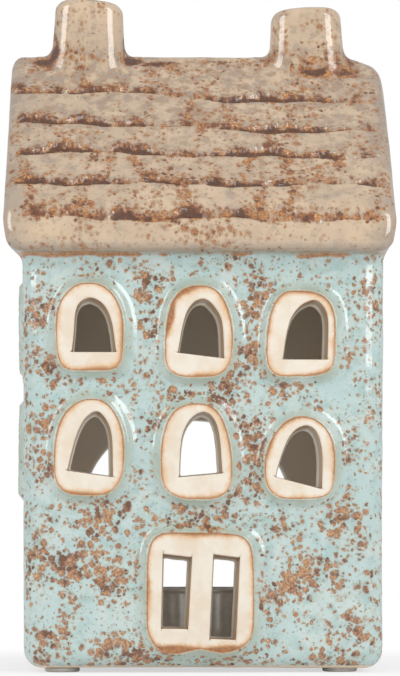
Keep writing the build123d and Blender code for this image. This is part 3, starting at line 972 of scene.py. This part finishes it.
def makeSpots():  # iron that came up through the glaze: round dots that crowd into clusters
    bench, given, out, tree = newGroup(
        "ironSpots", {"Place": None, "Amount": 0.0},
        {key: "NodeSocketFloat" for key in ("Rust", "Rim", "Dark", "Grain", "Tone", "Bleed")})
    place = given["Place"]
    warp = bench.noise(place, 1.3, 2.0, 0.6, "Color")
    push = bench.vector("SUBTRACT", {0: warp, 1: (0.5, 0.5, 0.5)})
    push = bench.vector("SCALE", {0: push.outputs[0], "Scale": 1.5 * mm})
    bent = bench.vector("ADD", {0: place, 1: push.outputs[0]}).outputs[0]
    patch = bench.noise(place, 9, 3.0, 0.6)
    lean = bench.timesPlus(patch, 1.5, given["Amount"])
    crowd = bench.ramp(lean, 0.36, 1.10, smooth=False)
    grain = bench.noise(bent, 0.5, 2.0, 0.6)

    def dots(size, base, share):  # how far inside a dot, a number drawn for it, and its mask
        inputs = {"Vector": bent, "Scale": perMm / size, "Randomness": 1.0}
        cells = bench.add("ShaderNodeTexVoronoi", inputs)
        picks = bench.add("ShaderNodeSeparateColor", {0: cells.outputs["Color"]}).outputs
        radius = bench.timesPlus(picks[0], 0.42, base)
        radius = bench.timesPlus(crowd, share, radius)
        inside = bench.less(radius, cells.outputs["Distance"])
        return inside, picks[1], bench.ramp(inside, -0.09, 0.15)
    bigInside, _, big = dots(2.1, -0.36, 0.62)
    midInside, midPick, medium = dots(1.25, -0.28, 0.56)
    _, smallPick, small = dots(0.8, -0.16, 0.22)
    rust = bench.larger(big, medium)
    near = bench.larger(bigInside, midInside)
    rim = bench.times(rust, bench.ramp(near, 0.22, 0.05))
    tone = bench.noise(place, 3.0, 3.0, 0.6)
    tone = bench.timesPlus(bench.less(midPick, 0.5), 0.16, tone)
    heavy = bench.ramp(bench.timesPlus(crowd, 0.25, tone), 0.74, 0.90)
    darkDots = bench.times(medium, bench.ramp(midPick, 0.80, 0.84))
    dark = bench.larger(bench.times(heavy, rust), darkDots)
    fleck = bench.times(small, bench.ramp(smallPick, 0.5, 0.6, 0.35, 0.75))
    dark = bench.larger(dark, fleck)
    tone = bench.ramp(tone, 0.40, 0.60)
    bleed = bench.times(bench.ramp(near, -0.34, -0.02), bench.ramp(patch, 0.36, 0.58, 0.35, 1.0))
    made = {"Rust": rust, "Rim": rim, "Dark": dark, "Grain": grain, "Tone": tone, "Bleed": bleed}
    for key, value in made.items():
        bench.put(out, key, value)
    return tree


ironSpots = makeSpots()


def makeEaveLine():  # where the roof's glaze meets the walls', with rust run along it
    bench, given, out, tree = newGroup(
        "eaveLine", {"Place": None, "Zone": 0.0}, {"Above": "NodeSocketFloat", "Rust": "NodeSocketFloat"})
    across = bench.add("ShaderNodeSeparateXYZ", {0: given["Place"]}).outputs[0]
    wander = bench.noise(given["Place"], 8, 2.0)
    fine = bench.noise(given["Place"], 1.4, 2.0, 0.6)
    level = bench.timesPlus(wander, 1.3, bench.less(given["Zone"], 0.35))
    bench.put(out, "Above", bench.ramp(level, -0.6, 0.5))
    along = bench.noise(given["Place"], 14, 1.0)
    side = bench.ramp(across, -12 * mm, -15 * mm)
    strength = bench.larger(bench.ramp(along, 0.53, 0.64), side)
    width = bench.timesPlus(strength, 1.05, bench.timesPlus(fine, 0.9, -0.95))
    near = bench.math("ABSOLUTE", bench.plus(level, 0.25))
    bench.put(out, "Rust", bench.ramp(bench.less(width, near), -0.1, 0.35))
    return tree


eaveLine = makeEaveLine()


def makeGlaze():
    material, bench, shader, place = newMaterial("speckledGlaze")
    padEdge, depth = bench.attribute("padEdge"), bench.attribute("depth")
    curve, poolAndShade = bench.attribute("curve"), bench.attribute("poolAndShade")
    joint, stain, zone = bench.attribute("joint"), bench.attribute("stain"), bench.attribute("zone")
    eave = bench.group(eaveLine, {"Place": place, "Zone": zone})
    above = eave["Above"]
    cloud = bench.noise(place, 10, 3.0, 0.6)
    mottle = bench.noise(place, 3.0, 3.0, 0.6)
    fine = bench.noise(place, 0.8, 3.0, 0.65)

    # the two glazes, each thick and thin in places
    aqua = bench.blend(bench.ramp(cloud, 0.34, 0.62), "aquaPale", "aqua")
    aqua = bench.blend(bench.ramp(mottle, 0.46, 0.70), aqua, "aquaDeep")
    beige = bench.blend(bench.ramp(cloud, 0.36, 0.64), "beigeWarm", "beige")
    beige = bench.blend(bench.ramp(mottle, 0.50, 0.74, 0.0, 0.6), beige, "beigeGrey")
    thin = bench.times(bench.ramp(curve, 0.3, 1.4), bench.ramp(mottle, 0.36, 0.6, 0.3, 0.95))
    aqua = bench.blend(bench.times(thin, 0.5), aqua, "halo")
    beige = bench.blend(bench.times(thin, 0.8), beige, "beigeGrey")
    ring = bench.timesPlus(mottle, 2.6, padEdge)
    veil = bench.ramp(ring, 4.4, 1.6, 0.0, 0.7)
    veil = bench.times(veil, bench.ramp(cloud, 0.36, 0.6, 0.25, 1.0))
    aqua = bench.blend(veil, aqua, "halo")
    band = bench.ramp(bench.timesPlus(cloud, 5.0, zone), 5.4, 1.8, 0.0, 0.65)
    beige = bench.blend(band, beige, "beigeGrey")
    beige = bench.blend(bench.times(bench.ramp(poolAndShade, 0.02, 0.3), 0.5), beige, "beigeGrey")
    axes = bench.add("ShaderNodeSeparateXYZ", {0: place}).outputs
    high = bench.times(axes[2], perMm)
    stack = bench.ramp(high, 146, 151)
    worn = bench.ramp(bench.timesPlus(cloud, 26.0, high), 112, 150, 0.0, 1.0)
    worn = bench.times(worn, bench.ramp(mottle, 0.40, 0.60, 0.12, 0.8))
    wornTone = bench.blend(bench.ramp(fine, 0.44, 0.6), "beigeGrey", "beigeBrown")
    worn = bench.times(worn, bench.less(1.0, stack))
    beige = bench.blend(worn, beige, wornTone)
    across = bench.math("ABSOLUTE", axes[0])
    verge = bench.timesPlus(across, perMm, bench.times(cloud, 11.0))
    beige = bench.blend(bench.ramp(verge, 41, 51, 0.0, 0.6), beige, "beigeGrey")
    colour = bench.blend(above, aqua, beige)

    # iron spots, gathered where the glaze pooled
    clear = bench.ramp(padEdge, 2.2, 0.4, 0.0, -0.35)
    eaveBand = bench.times(above, bench.ramp(zone, 9.5, 5.0))
    amount = bench.timesPlus(stain, 0.62, bench.timesPlus(above, 0.14, clear))
    amount = bench.timesPlus(joint, 0.5, amount)
    amount = bench.timesPlus(bench.ramp(poolAndShade, 0.0, 0.4), 0.4, amount)
    amount = bench.timesPlus(eaveBand, -0.3, amount)
    amount = bench.timesPlus(stack, -0.36, amount)
    spots = bench.group(ironSpots, {"Place": place, "Amount": amount})
    rustTone = bench.blend(spots["Tone"], "rustLight", "rust")
    rustTone = bench.blend(bench.ramp(spots["Grain"], 0.48, 0.60, 0.0, 0.85), rustTone, "rustRim")
    rustTone = bench.blend(bench.ramp(spots["Grain"], 0.42, 0.33, 0.0, 0.85), rustTone, "fleck")
    rustTone = bench.blend(bench.times(spots["Rim"], 0.6), rustTone, "rustRim")
    stainTone = bench.blend(above, "halo", "beigeBrown")
    bleedShare = bench.timesPlus(above, 0.34, 0.42)
    colour = bench.blend(bench.times(spots["Bleed"], bleedShare), colour, stainTone)
    colour = bench.blend(bench.times(spots["Rust"], 0.88), colour, rustTone)
    colour = bench.blend(bench.times(spots["Dark"], 0.78), colour, "rustDark")
    lineTone = bench.blend(bench.ramp(fine, 0.42, 0.62), "rustLight", "rust")
    colour = bench.blend(bench.times(eave["Rust"], 0.9), colour, lineTone)

    # glaze pooled in the gouged lines, orange where it is thin and nearly black where it is deep; the nearly
    # black core along each course's lower edge is also painted shade under the lip
    rag = bench.timesPlus(mottle, 1.5, bench.timesPlus(fine, 0.9, -1.2))
    soaked = bench.plus(poolAndShade, rag)
    gouge = bench.times(bench.ramp(soaked, 0.22, 0.46), bench.ramp(poolAndShade, 0.06, 0.2))
    # darkest pooled glaze, with painted shade under each course's lip
    poolDarkAndShade = bench.times(bench.ramp(soaked, 0.36, 0.66), bench.ramp(poolAndShade, 0.12, 0.3))
    soakTone = bench.blend(spots["Tone"], "rustLight", "soaked")
    soakTone = bench.blend(bench.ramp(spots["Grain"], 0.46, 0.62, 0.0, 0.8), soakTone, "rustRim")
    colour = bench.blend(bench.times(gouge, 0.88), colour, soakTone)
    poolDarkAndShadeTone = bench.blend(bench.ramp(fine, 0.48, 0.76), "poolDarkAndShade", "soaked")
    colour = bench.blend(bench.times(poolDarkAndShade, 0.92), colour, poolDarkAndShadeTone)

    # toasted clay line at the pads and the bare foot
    line = bench.ramp(bench.timesPlus(fine, 0.5, padEdge), 0.46, 0.2)
    colour = bench.blend(line, colour, "toast")
    foot = bench.ramp(bench.timesPlus(fine, 0.8, high), shell["base"] + 1.15, shell["base"] + 0.8)
    colour = bench.blend(foot, colour, "foot")

    # the cut faces and the inside are clay with hardly any glaze; outward edges deep in the cuts get a
    # painted highlight
    cut = bench.ramp(depth, 0.45, 0.8)
    inner = bench.blend(bench.ramp(depth, 2.0, 4.5), "reveal", "inside")
    # painted highlight on the outward edges deep inside the cuts
    edgeHighlightMask = bench.times(bench.ramp(curve, 0.5, 1.4), bench.ramp(depth, 3.0, 4.0))
    inner = bench.blend(edgeHighlightMask, inner, "edgeHighlight")
    colour = bench.blend(cut, colour, inner)

    bench.put(shader, "Base Color", colour)
    matte = bench.larger(bench.times(foot, 0.6), bench.times(cut, 0.35))
    matte = bench.larger(matte, bench.times(spots["Rust"], 0.1))
    matte = bench.larger(matte, bench.times(gouge, 0.22))
    bench.put(shader, "Roughness", bench.plus(matte, 0.1))
    bench.put(shader, "IOR", 1.75)
    peel = bench.noise(place, 1.3, 2.0, 0.5)
    pitted = bench.times(spots["Rust"], spots["Grain"])
    height = bench.timesPlus(pitted, 0.9, bench.times(peel, 0.45))
    bench.put(shader, "Normal", bench.bump(height, 0.4, 0.07))
    return material


glaze = makeGlaze()


def makeBareClay():
    material, bench, shader, place = newMaterial("bareClay")
    rim, front, scorch = bench.attribute("rim"), bench.attribute("front"), bench.attribute("scorch")
    fine = bench.noise(place, 0.7, 3.0, 0.65)
    cloud = bench.noise(place, 5, 3.0, 0.6)
    colour = bench.blend(bench.ramp(cloud, 0.35, 0.65), "clayPale", "clayDeep")
    inward = bench.timesPlus(fine, -0.9, rim)
    reach = bench.timesPlus(cloud, 2.3, -0.8)
    warm = bench.ramp(bench.plus(inward, bench.plus(reach, scorch)), -1.55, 0.0)
    colour = bench.blend(bench.times(warm, 0.72), colour, "clayWarm")
    scorched = bench.timesPlus(scorch, 1.1, bench.timesPlus(cloud, 1.2, -0.6))
    brown = bench.ramp(bench.plus(inward, scorched), -1.1, 0.05)
    toast = bench.blend(bench.ramp(fine, 0.4, 0.6), "clayToast", "clayBrown")
    colour = bench.blend(bench.times(brown, 0.88), colour, toast)
    cut = bench.ramp(front, 0.3, 0.8)
    colour = bench.blend(cut, colour, "clayCut")
    bench.put(shader, "Base Color", colour)
    bench.put(shader, "Roughness", bench.ramp(cut, 0.0, 1.0, 0.72, 0.35))
    wipe = bench.noise(place, 0.5, 2.0, 0.6)
    height = bench.timesPlus(wipe, 0.5, bench.times(fine, 0.5))
    bench.put(shader, "Normal", bench.bump(height, 0.5, 0.08))
    return material


bareClay = makeBareClay()
print("glazes mixed")


# The shell's pieces

fullX, fullY = shell["halfWidth"] + 3.2, shell["halfDepth"] + 2.2
roofX, roofY = roof["halfLength"] + 1.6, roof["run"] + 0.8
shellVoxel = 0.45
stacks = set(chimneys)
over = 2.2  # how far a piece's box runs past its own part
floorTop, innerX, innerY = shell["floorTop"], shell["innerX"], shell["innerY"]
shellPieces = {
    "floor_slab": {
        "low": (-fullX, -fullY, 0.4), "high": (fullX, fullY, floorTop + over),
        "near": {"front"}, "slot": "base_glaze"},
    "front_wall": {
        "low": (-fullX, -fullY, floorTop - over), "high": (fullX, over - innerY, wallTop + over),
        "near": {"front", "roof"}, "slot": "wall_glaze"},
    "back_wall": {
        "low": (-fullX, innerY - over, floorTop - over), "high": (fullX, fullY, wallTop + over),
        "near": {"arch", "roof"}, "slot": "wall_glaze"},
    "left_wall": {
        "low": (-fullX, -innerY - over, floorTop - over),
        "high": (over - innerX, innerY + over, shell["innerPeak"] + over),
        "near": {"left", "roof"}, "slot": "wall_glaze"},
    "right_wall": {
        "low": (innerX - over, -innerY - over, floorTop - over),
        "high": (fullX, innerY + over, shell["innerPeak"] + over),
        "near": {"right", "roof"}, "slot": "wall_glaze"},
    "roof_front": {
        "low": (-roofX, -roofY, wallTop - over), "high": (roofX, over, roof["top"] + 3),
        "near": {"roof", "slopes"} | stacks, "slot": "roof_glaze"},
    "roof_back": {
        "low": (-roofX, -over, wallTop - over), "high": (roofX, roofY, roof["top"] + 3),
        "near": {"roof", "slopes"} | stacks, "slot": "roof_glaze"},
}
for stackName in chimneys:
    low, high = cadSpan(stackName)
    reach = np.array([6.2, 5.2, 1.2])
    shellPieces[stackName] = {
        "low": low - reach - (0, 0, 7.8), "high": high + reach,
        "near": {"roof", "slopes", stackName}, "slot": "roof_glaze"}

for pieceName, plan in shellPieces.items():
    voxel = shellVoxel * (0.8 if pieceName in chimneys else 1.0)
    field, whole = pieceField(pieceName, plan["near"])
    attributes = shellAttributes(plan["near"])
    piece = meshOf(pieceName + "_glazed", field, plan["low"], plan["high"], voxel, attributes, whole)
    finishPiece(piece, "house", plan["slot"], glaze, pieceName)
    print("shell:", pieceName, len(piece.data.polygons), "faces")


# Bare clay pads round the windows and the door

# Where the clay was toasted brown: across, up, reach and strength
padScorch = {
    "window_frame_front_upper_left": [(-24, 70.5, 4.0, 0.5), (-19.5, 76, 4.0, 0.35)],
    "window_frame_front_upper_middle": [(-7.6, 81.5, 3.6, 1.5), (-4.5, 87.5, 4.0, 1.0), (-1, 70, 5.0, 0.5)],
    "window_frame_front_upper_right": [(16.5, 79.0, 4.0, 0.3), (22, 88, 5.0, 0.4), (24, 69.5, 5.0, 0.5)],
    "window_frame_front_lower_left": [(-28, 40.5, 5.0, 0.5)],
    "window_frame_front_lower_middle": [(0, 41, 5.0, 0.4)],
    "window_frame_front_lower_right": [(15.5, 52.0, 5.0, 0.45), (20, 59, 4.0, 0.6)],
    "door_frame": [(-6.4, 4.6, 4.2, 1.9), (4.9, 4.6, 3.8, 1.5), (-12, 20, 4.0, 0.5), (0, 33, 8.0, 0.5)],
}


def padField(face, pads, cuts):
    padMap, cutMap = mapOf(pads), mapOf(cuts)
    front = frames["height"] - frames["bareDrop"]
    back = frames["height"] - frames["backing"] - 0.05
    sunk = (1 - frames["sideShares"][face]) * frames["height"]

    def local(x, y, z):  # across, up and out from the wall's face
        if face == "front":
            return x, z, -shell["halfDepth"] - y
        if face == "left":
            return -y, z, -wallHalf(z) - x + shell["leanRight"]
        return y, z, x - wallHalf(z) - shell["leanRight"]

    def field(x, y, z):
        u, v, out = local(x, y, z)
        out = out - handMade(x, y, z) + sunk
        cut = cutDistance(cutMap, u, v, frames["height"] - out)
        ring = smoothMax(padMap.read(u, v) - 0.05, -cut, 0.2)
        return roundCorner(ring, np.maximum(out - front, back - out), 0.22)

    def rim(x, y, z):
        u, v, _ = local(x, y, z)
        return padMap.read(u, v)

    def behind(x, y, z):
        _, _, out = local(x, y, z)
        return front - out + handMade(x, y, z) - sunk
    return field, rim, behind


def scorchOf(name):
    def scorch(x, y, z):
        total = 0 * x
        for spotX, spotZ, reach, strength in padScorch.get(name, []):
            away = (x - spotX) ** 2 + (z - spotZ) ** 2
            total = np.maximum(total, strength * np.exp(-away / reach ** 2))
        return total
    return scorch


padVoxel = 0.27
out, back = frames["height"] + 0.6, 0.4  # how far out and in a pad's box reaches
for face, (pads, cuts) in faceLoops.items():
    for padName, loop in pads.items():
        (lowU, lowV), (highU, highV) = loop.min(0) - 0.6, loop.max(0) + 0.6
        near, far = shell["halfWidth"] + back - 0.6, shell["halfWidth"] + out
        if face == "front":
            near, far = shell["halfDepth"] + back, shell["halfDepth"] + out
            low, high = (lowU, -far, lowV), (highU, -near, highV)
        elif face == "left":
            low, high = (-far - 0.6, -highU, lowV), (-near, -lowU, highV)
        else:
            low, high = (near, lowU, lowV), (far + 1.2, highU, highV)
        field, rim, behind = padField(face, [loop], cuts[padName])
        attributes = {"rim": rim, "front": behind, "scorch": scorchOf(padName)}
        piece = meshOf(padName + "_bare", field, low, high, padVoxel, attributes)
        finishPiece(piece, "house", "bare_clay", bareClay, padName)
print("pads set in their rings")


# The tealight and the feet

def turned(name, profile, centre, flutes=0, fluteDepth=0.0, fluted=(0, 0), turns=128):
    # a profile of (radius, height) turned round an upright axis; some of its points can be fluted
    rings, spots, faces = len(profile), [], []
    for number, (radius, height) in enumerate(profile):
        for step in range(turns):
            angle = 2 * math.pi * step / turns
            wave = fluteDepth * math.cos(flutes * angle) if fluted[0] <= number < fluted[1] else 0.0
            across, along = (radius + wave) * math.cos(angle), (radius + wave) * math.sin(angle)
            spots.append(((centre[0] + across) * mm, (centre[1] + along) * mm, height * mm))
    for start in range(0, (rings - 1) * turns, turns):
        for step in range(turns):
            after = (step + 1) % turns
            faces.append((start + step, start + after, start + turns + after, start + turns + step))
    faces.append(tuple(range(turns))[::-1])
    faces.append(tuple((rings - 1) * turns + step for step in range(turns)))
    mesh = bpy.data.meshes.new(name)
    mesh.from_pydata(spots, [], faces)
    mesh.polygons.foreach_set("use_smooth", np.ones(len(mesh.polygons), bool))
    piece = bpy.data.objects.new(name, mesh)
    bpy.context.scene.collection.objects.link(piece)
    return piece


def outline(radius, height, moves):  # points of a profile, as moves from one radius and height
    return [(radius + across, height + up) for across, up in moves]


def spanOf(node):  # a round piece's middle, radius, bottom and top
    low, high = cadSpan(node)
    return tuple((low[:2] + high[:2]) / 2), (high[0] - low[0]) / 2, low[2], high[2]


def plainMaterial(name, finish):
    material, bench, shader, place = newMaterial(name)
    for key, value in finish["shader"].items():
        bench.put(shader, key, value)
    grain = bench.noise(place, finish["grain"], 3.0, 0.6)
    colour = bench.blend(bench.ramp(grain, 0.35, 0.65), finish["shader"]["Base Color"], finish["shade"])
    bench.put(shader, "Base Color", colour)
    bench.put(shader, "Normal", bench.bump(grain, 0.4, finish["relief"]))
    return material


cupSpot, cupRim, cupBottom, cupTop = spanOf("tealight_cup")
waxRadius, waxBottom, waxTop = spanOf("tealight_wax")[1:]
cup = {
    "shader": {"Base Color": "cup", "Metallic": 0.6, "Roughness": 0.42},
    "shade": "cupShade", "grain": 2.4, "relief": 0.05,
    "wall": waxRadius + 0.15,
    "flutes": 48, "fluteDepth": 0.11, "fluted": (4, 9), "turns": 192,
}
cupProfile = outline(cup["wall"], cupBottom, [
    (-3.0, 0.5), (-1.9, 0.05), (-0.9, 0), (-0.35, 0.45), (-0.1, 1.2), (0, 3.0), (0, 6.0), (0.05, 9.0)])
cupProfile += outline(cup["wall"], cupTop, [(0.1, -1.3), (0.2, -0.9)])
cupProfile += outline(cupRim, cupTop, [(-0.25, -0.75), (0, -0.4), (-0.2, -0.08), (-0.5, 0)])
cupProfile += outline(cup["wall"], cupTop, [(0.05, -0.12), (-0.12, -0.5)])
cupProfile += outline(cup["wall"], cupBottom, [(-0.15, 6.0), (-0.2, 1.0), (-1.2, 0.45), (-3.0, 0.55)])
piece = turned("tealight_cup_pressed", cupProfile, cupSpot,
               cup["flutes"], cup["fluteDepth"], cup["fluted"], cup["turns"])
finishPiece(piece, "tealight", "cup_aluminium", plainMaterial("tealightAluminium", cup), "tealight_cup")

wax = {
    "shader": {"Base Color": "wax", "Roughness": 0.34, "Subsurface Weight": 0.35,
               "Subsurface Scale": 0.004, "IOR": 1.44},
    "shade": "waxShade", "grain": 3.2, "relief": 0.06,
}
waxProfile = [(0.4, waxBottom)] + outline(waxRadius, waxBottom, [(-0.3, 0), (-0.04, 0.4)])
waxProfile += outline(waxRadius, waxTop, [
    (-0.03, -0.6), (-0.1, 0), (-0.5, -0.22), (-1.6, -0.45), (-4.0, -0.55)])
waxProfile += outline(0, waxTop, [(4.0, -0.6), (2.0, -0.5), (1.1, -0.25), (0.75, -0.15)])
piece = turned("tealight_wax_poured", waxProfile, cupSpot)
finishPiece(piece, "tealight", "candle_wax", plainMaterial("tealightWax", wax), "tealight_wax")

wickSpot, wickRadius, wickBottom, wickTop = spanOf("tealight_wick")
wick = {
    "shader": {"Base Color": "cotton", "Roughness": 0.9},
    "shade": "cottonShade", "grain": 0.3, "relief": 0.08,
    "strands": 6, "strandDepth": 0.07, "points": 60, "turns": 36,
}
wickProfile = [(wickRadius * (0.86 + 0.14 * math.sin(4.2 * height)), height)
               for height in np.linspace(wickBottom, wickTop, wick["points"])]
wickProfile.append((wickRadius * 0.4, wickTop + 0.1))
piece = turned("tealight_wick_braided", wickProfile, wickSpot,
               wick["strands"], wick["strandDepth"], (0, wick["points"]), wick["turns"])
finishPiece(piece, "tealight", "wick_cotton", plainMaterial("wickCotton", wick), "tealight_wick")

tinSpot, tinRadius, tinBottom, tinTop = spanOf("wick_sustainer")
tin = {
    "shader": {"Base Color": "tin", "Metallic": 1.0, "Roughness": 0.38},
    "shade": "tinShade", "grain": 1.2, "relief": 0.03,
}
tinProfile = outline(tinRadius, tinBottom, [(-0.4, 0), (0, 0.15), (-0.1, 0.4)])
tinProfile += outline(0, tinBottom, [(2.2, 0.55), (1.25, 0.9)]) + outline(0, tinTop, [(1.1, -0.2), (0.95, 0)])
piece = turned("wick_sustainer_stamped", tinProfile, tinSpot, turns=64)
finishPiece(piece, "tealight", "sustainer_tin", plainMaterial("sustainerTin", tin), "wick_sustainer")

footPad = {
    "shader": {"Base Color": "rubber", "Roughness": 0.55},
    "shade": "rubberShade", "grain": 0.5, "relief": 0.05,
}
rubber = plainMaterial("footRubber", footPad)
for corner in ("front_left", "front_right", "back_left", "back_right"):
    footSpot, radius, bottom, top = spanOf("foot_pad_" + corner)
    footProfile = outline(radius, bottom, [(-0.45, 0), (-0.15, 0.12), (0, 0.4)])
    footProfile += outline(radius, top, [(0, -0.15), (-0.1, 0)])
    piece = turned("foot_pad_" + corner + "_moulded", footProfile, footSpot, turns=64)
    finishPiece(piece, "house", "foot_rubber", rubber, "foot_pad_" + corner)
print("tealight and feet made")


# Camera and light

view = {
    "place": (-21.0, -687.0, 28.0),  # millimetres
    "focalPixels": 2853.0,
    "frameWide": 400,
    "frameHigh": 676,
    "leftVanishing": 110.3,  # where straight ahead falls across the frame, in its pixels
    "horizon": 550.0,  # and down it
    "shift": 0.2,  # of the frame's height
    "sensor": 36.0,
}


def setCamera():
    data = bpy.data.cameras.new("photoCamera")
    camera = bpy.data.objects.new("photoCamera", data)
    bpy.context.scene.collection.objects.link(camera)
    data.sensor_fit = "VERTICAL"
    data.sensor_height = view["sensor"]
    data.lens = view["focalPixels"] / view["frameHigh"] * view["sensor"]
    data.shift_y = view["shift"]
    below = view["horizon"] - view["frameHigh"] / 2 - view["shift"] * view["frameHigh"]
    beside = view["frameWide"] / 2 - view["leftVanishing"]
    pitch = math.atan2(below, view["focalPixels"])
    yaw = math.atan2(beside, view["focalPixels"])
    camera.location = Vector(view["place"]) * mm
    camera.rotation_euler = (math.pi / 2 + pitch, 0, -yaw)
    data.clip_start = 0.02
    bpy.context.scene.camera = camera


lights = {
    "rightPanel": {"azimuth": 43, "low": 4.5, "high": 46, "distance": 1.1, "width": 0.62, "power": 9.0},
    "leftPanel": {"azimuth": -61, "low": 4.5, "high": 46, "distance": 1.1, "width": 0.56, "power": 7.2},
}
aimHeight = 0.08


def softbox(name, azimuth, low, high, distance, width, power):
    # a tall panel: azimuth in degrees to the right of the camera, edges as elevations
    angle = math.radians(azimuth)
    reachLow = distance * math.tan(math.radians(low))
    reachHigh = distance * math.tan(math.radians(high))
    data = bpy.data.lights.new(name, "AREA")
    data.shape = "RECTANGLE"
    data.size, data.size_y = width, reachHigh - reachLow
    data.energy = power
    lamp = bpy.data.objects.new(name, data)
    middle = aimHeight + (reachLow + reachHigh) / 2
    lamp.location = (distance * math.sin(angle), -distance * math.cos(angle), middle)
    lamp.rotation_euler = (math.pi / 2, 0, angle)
    bpy.context.scene.collection.objects.link(lamp)


setCamera()
for lampName, settings in lights.items():
    softbox(lampName, **settings)

world = bpy.data.worlds.new("paleRoom")
bpy.context.scene.world = world
world.use_nodes = True
world.node_tree.nodes.clear()
sky = Nodes(world.node_tree)
rays = sky.add("ShaderNodeLightPath").outputs
seen = sky.math("MAXIMUM", rays["Is Camera Ray"], rays["Is Transmission Ray"])
strength = sky.ramp(seen, 0.0, 1.0, 0.6, 1.0, smooth=False)
glow = sky.add("ShaderNodeBackground", {"Color": (1, 1, 1, 1), "Strength": strength})
sky.put(sky.add("ShaderNodeOutputWorld"), 0, glow.outputs[0])


paleFloor = {
    "reach": 4.0,
    "grey": 0.9,
    "shadowTo": (0.045, 0.15),  # from the house's own shade out to plain white, in metres
    "whiteNear": 0.62,
}


def layFloor():
    mesh = bpy.data.meshes.new("floor")
    reach, grey = paleFloor["reach"], paleFloor["grey"]
    corners = [(-reach, -reach, 0), (reach, -reach, 0), (reach, reach, 0), (-reach, reach, 0)]
    mesh.from_pydata(corners, [], [(0, 1, 2, 3)])
    floor = bpy.data.objects.new("floor", mesh)
    bpy.context.scene.collection.objects.link(floor)
    material, bench, shader, place = newMaterial("paleFloor")
    bench.put(shader, "Base Color", (grey, grey, grey, 1))
    bench.put(shader, "Roughness", 0.9)
    bench.put(shader, "Specular IOR Level", 0.1)
    away = bench.vector("LENGTH", {0: place}).outputs["Value"]
    seen = bench.add("ShaderNodeLightPath").outputs["Is Camera Ray"]
    share = bench.times(bench.ramp(away, *paleFloor["shadowTo"], paleFloor["whiteNear"], 1.0), seen)
    paper = bench.add("ShaderNodeEmission", {"Color": (1, 1, 1, 1), "Strength": 1.0})
    mixed = bench.add("ShaderNodeMixShader", {0: share, 1: shader.outputs[0], 2: paper.outputs[0]})
    output = next(node for node in material.node_tree.nodes if node.type == "OUTPUT_MATERIAL")
    bench.put(output, 0, mixed.outputs[0])
    mesh.materials.append(material)


layFloor()
bpy.context.scene.view_settings.view_transform = "Standard"
print("studio ready")
